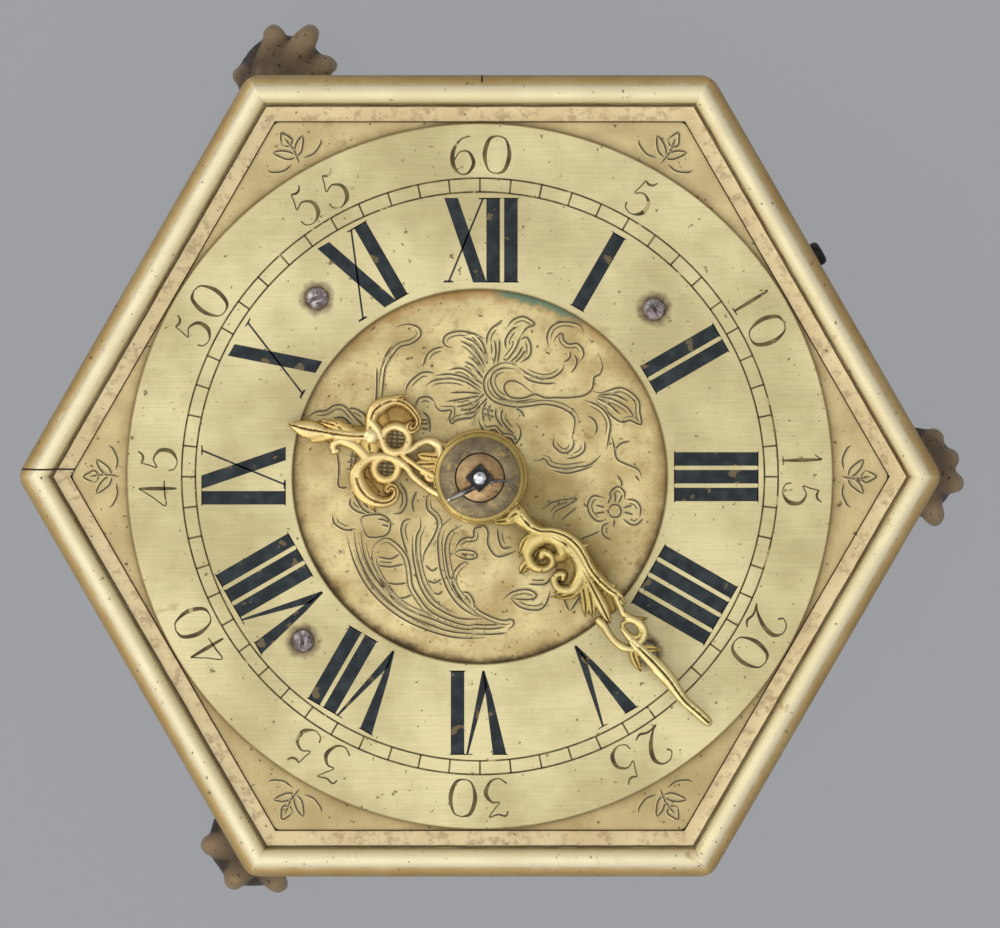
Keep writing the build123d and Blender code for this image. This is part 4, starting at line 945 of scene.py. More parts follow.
    def screws(self) -> Piece:
        """Four low domed and slotted heads that hold the ring.

        Returns:
            The heads as one mesh.
        """
        spots = bpy.data.meshes.new("screw_spots")
        spots.from_pydata([(x * MM, y * MM, RING_TOP * MM) for x, y in screw_spots()], [], [])
        aim = spots.attributes.new("slot_angle", "FLOAT", "POINT")
        aim.data.foreach_set("value", [math.radians(deg) for deg in SLOT_TURNS])
        tree, given, end = new_tree("domed_heads", {
            "Radius": self.head_radius * MM, "Rise": self.head_rise * MM, "Slot": self.slot * MM})
        dome = add(tree, "GeometryNodeMeshUVSphere",
                   {"Segments": 32, "Rings": 16, "Radius": given["Radius"]})
        flat = add(tree, "ShaderNodeMath", {0: given["Rise"], 1: given["Radius"]}, operation="DIVIDE")
        shape = add(tree, "ShaderNodeCombineXYZ", {0: 1.0, 1: 1.0, 2: flat.outputs[0]})
        low = add(tree, "GeometryNodeTransform", {"Geometry": dome.outputs[0], "Scale": shape.outputs[0]})
        long = add(tree, "ShaderNodeMath", {0: given["Radius"], 1: 3.0}, operation="MULTIPLY")
        deep = add(tree, "ShaderNodeMath", {0: given["Rise"], 1: 1.07}, operation="MULTIPLY")
        size = add(tree, "ShaderNodeCombineXYZ", {0: long.outputs[0], 1: given["Slot"], 2: deep.outputs[0]})
        bar = add(tree, "GeometryNodeMeshCube", {"Size": size.outputs[0]})
        up = add(tree, "ShaderNodeCombineXYZ", {2: given["Rise"]})
        cutter = add(tree, "GeometryNodeTransform",
                     {"Geometry": bar.outputs[0], "Translation": up.outputs[0]})
        head = add(tree, "GeometryNodeMeshBoolean",
                   {"Mesh 1": low.outputs[0], "Mesh 2": cutter.outputs[0]}, operation="DIFFERENCE")
        turn = add(tree, "GeometryNodeInputNamedAttribute", {"Name": "slot_angle"}, data_type="FLOAT")
        spin = add(tree, "ShaderNodeCombineXYZ", {2: turn.outputs[0]})
        heads = add(tree, "GeometryNodeInstanceOnPoints",
                    {"Points": given["Geometry"], "Instance": head.outputs[0], "Rotation": spin.outputs[0]})
        finish_tree(tree, end, heads.outputs[0], self.screw)
        made = grown("domed_ring_screws", spots, tree)
        made.data.polygons.foreach_set("use_smooth", [True] * len(made.data.polygons))
        made.data.set_sharp_from_angle(angle=math.radians(40))
        return made

    def sprig_lines(self) -> list[list[Point]]:
        """A small leaf sprig for each corner of the plate.

        Returns:
            The lines in mm.
        """
        sprig = [[(0, 54.0), (0.3, 56.0), (0, 58.4)], [(0, 55.0), (-1.2, 55.4), (-2.2, 56.6), (-2.6, 57.4)],
                 [(0, 55.0), (1.2, 55.4), (2.2, 56.6), (2.6, 57.4)],
                 [(-2.6, 57.4), (-1.4, 57.0), (-0.4, 56.2), (0.1, 55.4)],
                 [(2.6, 57.4), (1.4, 57.0), (0.5, 56.2), (0.1, 55.4)],
                 [(-0.9, 57.6), (-0.5, 58.6), (0, 59.3), (0.5, 58.6), (0.9, 57.6), (0, 57.0), (-0.9, 57.6)],
                 [(-1.0, 54.4), (-2.6, 54.2), (-4.2, 54.9), (-4.6, 55.5)],
                 [(1.0, 54.4), (2.6, 54.2), (4.2, 54.9), (4.6, 55.5)]]
        return [[self.place(x, r, deg) for x, r in line] for deg in range(0, 360, 60) for line in sprig]

    def dress(self) -> None:
        """Builds the dial's pieces on the case."""
        leaves = [[(x / 10, y / 10) for x, y in zip(line[::2], line[1::2])] for line in FOLIAGE]
        shading = self.companions(leaves) + self.hatching()
        pieces = [*self.numerals(), self.minute_track(),
                  self.engraving("centre_engraving", leaves, self.cut_wide),
                  self.engraving("centre_shading", shading, self.fine_wide),
                  self.engraving("corner_sprigs", self.sprig_lines(), self.cut_wide)]
        for piece in pieces:
            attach(piece, "case")
            LOG.info("dial piece %s", piece.name)
        heads = self.screws()
        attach(heads, "case")
        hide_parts("dial_screws")


@dataclass
class CarvedHand:
    """A pierced and chased hand, built as one relief from its drawn limbs."""
    name: str
    node: str
    body: str
    turn: float
    foot: float
    thick: float
    hole: float
    boss: float
    limbs: tuple[Drawn, ...]
    gilt: Skin
    swell: float
    grid: float = 0.12
    vein_deep: float = 0.26
    vein_wide: float = 0.12

    def field(self) -> tuple[np.ndarray, np.ndarray, np.ndarray, np.ndarray]:
        """Distance to the outline and height over a grid.

        Returns:
            Grid positions along and across, distance outside the outline, and height share.
        """
        every = np.vstack([np.array(limb.points())[:, :2] for limb in self.limbs])
        u = np.arange(-self.boss - 1, every[:, 0].max() + 1, self.grid)
        v = np.arange(min(every[:, 1].min(), -self.boss) - 1.2, max(every[:, 1].max(), self.boss) + 1.2,
                      self.grid)
        uu, vv = np.meshgrid(u, v, indexing="ij")
        r = np.hypot(uu, vv)
        middle, half = (self.hole + self.boss) / 2, (self.boss - self.hole) / 2
        out = np.abs(r - middle) - half
        crown = np.sqrt(np.clip(1 - ((r - middle) / half) ** 2, 0, 1))
        high = np.where(out < self.grid, 0.5 + 0.4 * crown, 0)
        for limb in self.limbs:
            drawn = limb.points()
            rows = smooth_line(drawn, 5, closed=drawn[0][:2] == drawn[-1][:2])
            rows[:, 2] = np.maximum(rows[:, 2] * self.swell, 0.05)
            reach = rows[:, 2].max() / 2 + 3 * self.grid
            i0, i1 = np.searchsorted(u, [rows[:, 0].min() - reach, rows[:, 0].max() + reach])
            j0, j1 = np.searchsorted(v, [rows[:, 1].min() - reach, rows[:, 1].max() + reach])
            a, b = uu[i0:i1, j0:j1], vv[i0:i1, j0:j1]
            best, share, spine = np.full(a.shape, 9.0), np.zeros(a.shape), np.full(a.shape, 9.0)
            for (x0, y0, w0), (x1, y1, w1) in zip(rows[:-1], rows[1:]):
                dx, dy = x1 - x0, y1 - y0
                t = np.clip(((a - x0) * dx + (b - y0) * dy) / max(dx * dx + dy * dy, 1e-9), 0, 1)
                d = np.hypot(a - x0 - t * dx, b - y0 - t * dy)
                w = (w0 + (w1 - w0) * t) / 2
                closer = d - w < best
                best = np.where(closer, d - w, best)
                share = np.where(closer, np.clip(1 - (d / w) ** 2, 0, 1), share)
                spine = np.where(closer, np.where(w > 0.22, d, 9.0), spine)
            tall = limb.level * (0.60 + 0.40 * np.sqrt(share))
            if limb.vein:
                tall = tall - self.vein_deep * limb.level * np.exp(-(spine / self.vein_wide) ** 2)
            inside = best < self.grid * 1.5
            high[i0:i1, j0:j1] = np.where(inside, np.maximum(high[i0:i1, j0:j1], tall), high[i0:i1, j0:j1])
            out[i0:i1, j0:j1] = np.minimum(out[i0:i1, j0:j1], best)
        return uu, vv, np.maximum(out, self.hole - r), high

    def build(self) -> None:
        """Turns the relief into a closed mesh in place on the dial."""
        uu, vv, out, high = self.field()
        cell = (out[:-1, :-1] + out[1:, :-1] + out[:-1, 1:] + out[1:, 1:]) / 4 < 0
        count = np.zeros(out.shape, int)
        for di, dj in ((0, 0), (1, 0), (0, 1), (1, 1)):
            count[di:di + cell.shape[0], dj:dj + cell.shape[1]] += cell
        used = count > 0
        number = np.full(out.shape, -1)
        number[used] = np.arange(used.sum())
        du, dv = np.gradient(out, self.grid)
        size = np.maximum(du ** 2 + dv ** 2, 0.2)
        # corners on the rim slide onto the drawn outline
        rim = used & (count < 4)
        step = np.clip(np.where(rim, out / size, 0), -self.grid * 0.8, self.grid * 0.8)
        x, y = uu - step * du, vv - step * dv
        a = math.radians(self.turn)
        px, py = x * math.cos(a) - y * math.sin(a), x * math.sin(a) + y * math.cos(a)
        tall = np.maximum(high, 0.3)[used]
        n = len(tall)
        top = np.stack([px[used], py[used], self.foot + self.thick * np.minimum(tall, 1.25)], 1)
        low = np.stack([px[used], py[used], np.full(n, self.foot)], 1)
        i, j = np.nonzero(cell)
        quads = np.stack([number[i, j], number[i + 1, j], number[i + 1, j + 1], number[i, j + 1]], 1)
        edges = dict.fromkeys((int(q[k]), int(q[(k + 1) % 4])) for q in quads for k in range(4))
        walls = [(p + n, q + n, q, p) for p, q in edges if (q, p) not in edges]
        faces = [*quads.tolist(), *(quads[:, ::-1] + n).tolist(), *walls]
        obj = mesh_object(self.name, np.vstack([top, low]), faces, self.gilt, smooth=True)
        # the height share, which the gilt's ramp paints as highlight high up and shade low down; the
        # underside gets a dark 0.25
        mark = obj.data.attributes.new("relief", "FLOAT", "POINT")
        relief = np.concatenate([np.clip(tall / 1.05, 0, 1), np.full(n, 0.25)])
        mark.data.foreach_set("value", relief.astype(np.float32))
        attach(obj, self.body)
        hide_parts(self.node)
        LOG.info("%s: %d faces", self.name, len(faces))


@dataclass
class CentreStack:
    """Steel collet with its brass washer, the squared end of the arbor and the bent pin through it."""
    steel: Skin
    brass: Skin
    bright: Skin
    tip: Skin
    turn: float = -2.0
    pin_height: float = 73.95

    def turned(self, name: str, profile: Sequence[Point], material: Skin, corner: float = 0.0) -> Piece:
        """Turns a closed (radius, height) profile about the dial's axis.

        Args:
            name: the piece's name.
            profile: the outline, counter-clockwise with the axis on its left. A radius of 0 lies on the
                square hole.
            material: its finish.
            corner: the square hole's half diagonal in mm.
        Returns:
            The object.
        """
        n, sides, verts = len(profile), 96, []
        for k in range(sides):
            t = 2 * math.pi * k / sides
            hole = corner / (abs(math.cos(t)) + abs(math.sin(t)))
            a = t + math.radians(self.turn)
            verts += [((r or hole) * math.cos(a), (r or hole) * math.sin(a), z) for r, z in profile]
        faces = []
        for k in range(sides):
            here, there = k * n, ((k + 1) % sides) * n
            faces += [[here + i, there + i, there + (i + 1) % n, here + (i + 1) % n] for i in range(n)]
        return mesh_object(name, np.array(verts), faces, material, smooth=True)

    def bent_pin(self) -> Piece:
        """A hand-filed taper pin, bent where it leaves the square.

        Returns:
            The pin.
        """
        rows = smooth_line([
            (-4.9, -3.4, 0.30), (-3.2, -2.6, 0.42), (-1.3, -1.6, 0.44), (0.3, -0.9, 0.38),
            (1.7, -0.55, 0.30), (3.2, -0.45, 0.22), (4.7, -0.42, 0.13)], 6)
        verts, faces, sides = [], [], 14
        step = np.gradient(rows[:, :2], axis=0)
        step /= np.linalg.norm(step, axis=1)[:, None]
        for k, (x, y, r) in enumerate(rows):
            nx, ny = -step[k, 1], step[k, 0]
            if k in (0, len(rows) - 1):
                r *= 0.45
            for s in range(sides):
                c, d = r * math.cos(2 * math.pi * s / sides), r * math.sin(2 * math.pi * s / sides)
                verts.append((x + nx * c, y + ny * c, self.pin_height + d))
        for k in range(len(rows) - 1):
            for s in range(sides):
                t = (s + 1) % sides
                faces.append([k * sides + s, k * sides + t, (k + 1) * sides + t, (k + 1) * sides + s])
        faces.append(list(range(sides))[::-1])
        faces.append([(len(rows) - 1) * sides + s for s in range(sides)])
        return mesh_object("bent_taper_pin", np.array(verts), faces, self.bright, smooth=True)

    def dress(self) -> None:
        """Builds the stack on the minute hand's body."""
        collet = self.turned("steel_collet", (
            (2.2, 71.85), (5.75, 71.85), (6.0, 72.0), (6.0, 72.75), (5.85, 72.9), (3.75, 72.9),
            (3.6, 72.72), (2.2, 72.72)), self.steel)
        washer = self.turned("brass_washer", (
            (0, 72.7), (3.5, 72.7), (3.5, 72.98), (3.35, 73.1), (0, 73.1)), self.brass, corner=2.08)
        end = self.turned("burnished_arbor_tip", (
            (0.03, 75.4), (0.96, 75.4), (0.96, 75.93), (0.86, 76.06), (0.5, 76.2), (0.03, 76.24)), self.tip)
        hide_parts("hand_collet")
        pin = self.bent_pin()
        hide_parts("hand_pin")
        for piece, metal in ((collet, Metal.STEEL), (washer, Metal.MOVEMENT), (pin, Metal.STEEL),
                             (end, Metal.STEEL)):
            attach(piece, "minute")
            LOG.info("centre piece %s", piece.name)


@dataclass
class PawFoot:
    """A cast claw gripping a ball, worked as one skin over its toes, ball and ankle.

    Each toe is (angle, reach). The shift moves the claw and the ball against the ankle."""
    node: str
    turn: float
    toes: tuple[Point, ...]
    shift: Point
    bronze: Skin
    out: float = 68.2
    ball: float = 7.35
    voxel: float = 0.34
    rubbed: int = 9
    groove: float = 0.4
    uneven: float = 0.16
    heart: float = 7.75
    ankle: float = 15.5
    top: float = 17.0

    def limbs(self) -> list[list[tuple[float, float, float, float]]]:
        """The foot's limbs in its own frame.

        Returns:
            Lines of (out, across, height, radius), toes first.
        """
        lines = []
        for deg, reach in self.toes:
            c, d = reach * math.cos(math.radians(deg)), reach * math.sin(math.radians(deg))
            curl = [(2.6, 12.2, 3.0), (4.6, 11.2, 2.3), (6.2, 10.0, 1.95), (7.0, 8.4, 1.75),
                    (7.4, 6.2, 1.5), (7.5, 3.8, 1.25), (7.3, 1.7, 0.6)]
            lines.append([(p * c, p * d, z, r) for p, z, r in curl])
        return [*lines, [(-0.6, 0, 11.0, 5.2), (-3.4, 0, 13.0, 4.6), (-6.6, 0, 14.9, 4.3)],
                [(0, 0, self.ball, self.ball), (-0.4, 0, self.ball, self.ball)]]

    def build(self) -> None:
        """Fuses the limbs into one skin, makes it uneven like a casting and keeps its painted highlight and
        shade on the mesh.
        """
        build = bmesh.new()
        a = math.radians(self.turn)
        tracks = []
        for n, line in enumerate(self.limbs()):
            rows = smooth_line(line, 6)
            tracks += [rows] if n < len(self.toes) else []
            for x, y, z, r in rows:
                bmesh.ops.create_icosphere(build, subdivisions=3 if r > 4 else 2, radius=r * MM,
                                           matrix=Matrix.Translation(Vector((x, y, z)) * MM))
        rough = bpy.data.meshes.new("paw_rough")
        build.to_mesh(rough)
        build.free()
        seed = bpy.data.objects.new("paw_seed", rough)
        bpy.context.scene.collection.objects.link(seed)
        skin = seed.modifiers.new("skin", "REMESH")
        skin.mode, skin.voxel_size = "VOXEL", self.voxel * MM
        soft = seed.modifiers.new("soft", "SMOOTH")
        soft.factor, soft.iterations = 0.5, self.rubbed
        mesh = bpy.data.meshes.new_from_object(seed.evaluated_get(bpy.context.evaluated_depsgraph_get()))
        bpy.data.objects.remove(seed)
        points = np.empty(len(mesh.vertices) * 3)
        mesh.vertices.foreach_get("co", points)
        p = points.reshape(-1, 3) / MM
        gap = np.min([np.linalg.norm(p[:, None, :] - rows[:, :3], axis=2) - rows[:, 3] for rows in tracks],
                     axis=(0, 2))
        # painted highlight and shade: the toes are painted pale towards their ends, the ball is left dark as
        # painted shade, and the higher ankle is painted a little paler
        outward = np.clip(0.35 + (np.hypot(p[:, 0], p[:, 1]) - 5.0) / 5.0, 0.3, 1)
        relief = np.clip(1 - gap / self.groove, 0, 1) * outward
        relief += 0.25 * np.clip((p[:, 2] - 9) / 5, 0, 1)
        own = Vector((self.turn, 0, 0))
        casting = np.array([noise.fractal(Vector(q) * 0.45 + own, 1.0, 2.0, 3) for q in p])
        p += (p - np.array([0, 0, self.heart])) / 8 * (casting * self.uneven)[:, None]
        u, v = p[:, 0] + self.out, p[:, 1].copy()
        lower = np.clip((self.ankle - p[:, 2]) / 5, 0, 1)
        p[:, 0] = u * math.cos(a) - v * math.sin(a) + self.shift[0] * lower
        p[:, 1] = u * math.sin(a) + v * math.cos(a) + self.shift[1] * lower
        p[:, 2] = np.clip(p[:, 2] - max(p[:, 2].min(), 0), 0, self.top)
        mesh.vertices.foreach_set("co", (p * MM).ravel())
        mesh.update()
        mesh.materials.clear()
        mesh.materials.append(self.bronze)
        mesh.polygons.foreach_set("use_smooth", [True] * len(mesh.polygons))
        mark = mesh.attributes.new("relief", "FLOAT", "POINT")
        mark.data.foreach_set("value", relief.astype(np.float32))
        obj = bpy.data.objects.new("cast_" + self.node, mesh)
        bpy.context.scene.collection.objects.link(obj)
        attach(obj, "base")
        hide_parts(self.node)
        LOG.info("%s: %d faces", obj.name, len(mesh.polygons))


@dataclass
class Studio:
    """Pale grey paper, soft lamps and the camera over the dial."""
    eye: tuple[float, float, float] = (2.1, 22.6, 967.0)
    aim: tuple[float, float, float] = (3.0, 1.9, 67.0)
    lit: tuple[float, float, float] = (0.0, 0.0, 60.0)
    lens: float = 217.0
    paper: str = "#9FA1A5"
    own_share: float = 0.9
    sheet: float = 6000.0
    room: str = "#E8E9EC"
    room_level: float = 0.64

    def floor(self) -> None:
        """Lays a broad sheet that shows its own colour, keeps a soft shadow and is clear from below."""
        # matt grey paper, pressed: an even tone with a faint tooth
        material, tree, at = blank("grey_paper")
        pulp = add(tree, "ShaderNodeTexNoise", {"Vector": at, "Scale": per(0.8), "Detail": 2.0})
        bump = add(tree, "ShaderNodeBump",
                   {"Height": pulp.outputs[0], "Distance": 0.02 * MM, "Strength": 0.2})
        lit = add(tree, "ShaderNodeBsdfDiffuse", {"Color": linear(self.paper), "Normal": bump.outputs[0]})
        own = add(tree, "ShaderNodeEmission", {"Color": linear(self.paper), "Strength": 1.0})
        ray = add(tree, "ShaderNodeLightPath")
        seen = add(tree, "ShaderNodeMath",
                   {0: ray.outputs["Is Camera Ray"], 1: ray.outputs["Is Glossy Ray"]}, operation="ADD")
        seen = add(tree, "ShaderNodeMath", {0: seen.outputs[0], 1: ray.outputs["Is Transmission Ray"]},
                   operation="ADD")
        share = add(tree, "ShaderNodeMath", {0: seen.outputs[0], 1: self.own_share}, operation="MULTIPLY",
                    use_clamp=True)
        mix = add(tree, "ShaderNodeMixShader", {0: share.outputs[0], 1: lit.outputs[0], 2: own.outputs[0]})
        face = add(tree, "ShaderNodeNewGeometry")
        clear = add(tree, "ShaderNodeBsdfTransparent")
        whole = add(tree, "ShaderNodeMixShader",
                    {0: face.outputs["Backfacing"], 1: mix.outputs[0], 2: clear.outputs[0]})
        add(tree, "ShaderNodeOutputMaterial", {"Surface": whole.outputs[0]})
        s = self.sheet
        obj = mesh_object("paper_floor", np.array([(-s, -s, 0), (s, -s, 0), (s, s, 0), (-s, s, 0)]),
                          [(0, 1, 2, 3)], material)

    def lamp(self, name: str, at: Point, height: float, size: float, power: float) -> None:
        """Hangs a square soft lamp.

        Args:
            name: the lamp's name.
            at: its place over the floor, mm.
            height: above the floor, mm.
            size: side, mm.
            power: watts.
        """
        light = bpy.data.lights.new(name, "AREA")
        light.size = size * MM
        light.energy = power
        obj = bpy.data.objects.new(name, light)
        place = Vector((at[0], at[1], height)) * MM
        obj.location = place
        obj.rotation_euler = (Vector(self.lit) * MM - place).to_track_quat("-Z", "Y").to_euler()
        bpy.context.scene.collection.objects.link(obj)

    def camera(self) -> None:
        """Sets the camera over the dial with twelve o'clock at the top."""
        data = bpy.data.cameras.new("portrait")
        data.lens, data.sensor_width = self.lens, 36.0
        data.clip_start, data.clip_end = 0.05, 20.0
        obj = bpy.data.objects.new("portrait", data)
        eye, aim = Vector(self.eye) * MM, Vector(self.aim) * MM
        back = (eye - aim).normalized()
        right = Vector((0, 1, 0)).cross(back).normalized()
        up = back.cross(right)
        obj.matrix_world = Matrix.Translation(eye) @ Matrix((right, up, back)).transposed().to_4x4()
        bpy.context.scene.collection.objects.link(obj)
        bpy.context.scene.camera = obj

    def light(self) -> None:
        """Sets the world, the lamps and the view transform."""
        world = bpy.data.worlds.new("soft_room")
        bpy.context.scene.world = world
        world.use_nodes = True
        sky = world.node_tree.nodes["Background"]
        sky.inputs[0].default_value = linear(self.room)
        sky.inputs[1].default_value = self.room_level
        self.lamp("overhead_soft", (-80, -260), 1500, 1200, 5.0)
        self.lamp("key_low", (-420, -720), 760, 560, 2.4)
        self.lamp("fill_left", (-800, 260), 760, 560, 2.5)
        bpy.context.scene.view_settings.view_transform = "Standard"

    def build(self) -> None:
        """Builds the stage."""
        self.floor()
        self.camera()
        self.light()


# the dial plate's settings, shared by its flat skin and by the cuts in it
PLATE = {"fresh": "#D9C790", "worn": "#B7A16B", "grime_and_shade": "#4E3D1E", "stain": "#94794A", "cloud": 6,
         "specks": 0.67, "stains": 0.62, "streak_depth": 0.05, "metallic": 0.6, "rough": 0.4, "hollow": 0.9}
# both hands' settings
GILDING = {"cloud": 3, "speck": 0.6, "specks": 0.66, "stains": 0.68, "streak_depth": 0.04, "metallic": 0.7,
           "hollow": 0.8}


@dataclass
class Finishes:
    """The finishes that the carried-over solids take, by node name."""
    nodes: dict[str, Piece]

    def dress(self) -> None:
        """Makes the finishes and gives one to each node."""
        # fire-gilt brass, turned to a moulding and burnished: soft shine on the roll, brown patina and
        # painted shade in the groove, painted shade on the outer edge
        moulding = GiltMoulding("fire_gilt_moulding", fresh="#F2DFA8", worn="#CBAC70", specks=0.69,
                                metallic=0.25, rough=0.52, hollow=0.45).build()
        # fire-gilt brass sheet, planished: warmer and duller than the moulding, with brown clouds
        case = AgedMetal("fire_gilt_case", fresh="#E6CC8A", worn="#B8934E", stains=0.62).build()
        # gilt brass, stoned and brushed: pale green-cream with fine level lines
        ring = ChapterBrass("brushed_chapter_brass", fresh="#DACD9C", worn="#C3B584", grime_and_shade="#6A5C34",
                            stain="#B09A62", cloud=16, specks=0.69, stains=0.66, streak=(0.2, 9),
                            streak_turn=12, streak_depth=0.07, metallic=0.55, rough=0.46,
                            hollow=0.8).build()
        # gilt brass, engraved: darker and browner than the ring, with brown blotches round the middle and
        # along both hands
        plate = EngravedBrass("engraved_dial_brass", **PLATE).build()
        # cast and filed brass, grained: straight fine lines and a clear yellow
        movement = AgedMetal("grained_movement_brass", fresh="#E2C478", worn="#B8924A", streak_turn=90,
                             streak=(0.15, 12), streak_depth=0.06).build()
        # carbon steel, polished: pale grey, with a little brown rust in spots
        steel = AgedMetal("polished_grey_steel", fresh="#C9C8C8", worn="#8E8B8A", grime_and_shade="#3A2A20",
                          stain="#7A5238", cloud=2.2, specks=0.64, stains=0.64, streak_depth=0.12,
                          metallic=0.9, rough=0.33, hollow=0.6).build()
        # carbon steel, darkened with age: nearly black, with a dull shine
        dark = AgedMetal("darkened_steel", fresh="#3C3A38", worn="#1D1B19", grime_and_shade="#0C0A08",
                         stain="#3E2A1C", cloud=2.5, metallic=0.75, rough=0.38).build()
        # spring steel, heat blued: deep blue with a sharp shine
        blued = AgedMetal("blued_spring_steel", fresh="#2A3A5E", worn="#16203A", grime_and_shade="#0C0C10",
                          stain="#3A2C3A", cloud=5, metallic=0.85, rough=0.28).build()
        # crown glass, blown and aged: faintly green, rippled, a little dusty
        glass = WindowGlass().build()
        chosen = {}
        for finish, names in (
                (moulding, "top_moulding base_moulding"), (case, "base_plate"), (ring, "chapter_ring"),
                (plate, "dial_plate"), (glass, "window_panes"),
                (blued, "hairspring cock_screw catch_spring"),
                (dark, "catch_button centre_arbor cannon_pinion"),
                (steel, "dial_screws hinge_pin pillar_pins fusee_chain setup_click setup_ratchet "
                        "third_arbor contrate_arbor escape_arbor verge_staff fusee_arbor barrel_arbor "
                        "minute_wheel_post")):
            chosen.update(dict.fromkeys(names.split(), finish))
        gilt = ("wall", "window_frames", "hook", "hinge_leaf")
        for name, node in self.nodes.items():
            plain = case if any(word in name for word in gilt) else movement
            node.data.materials.clear()
            node.data.materials.append(chosen.get(name, plain))


# Drawings

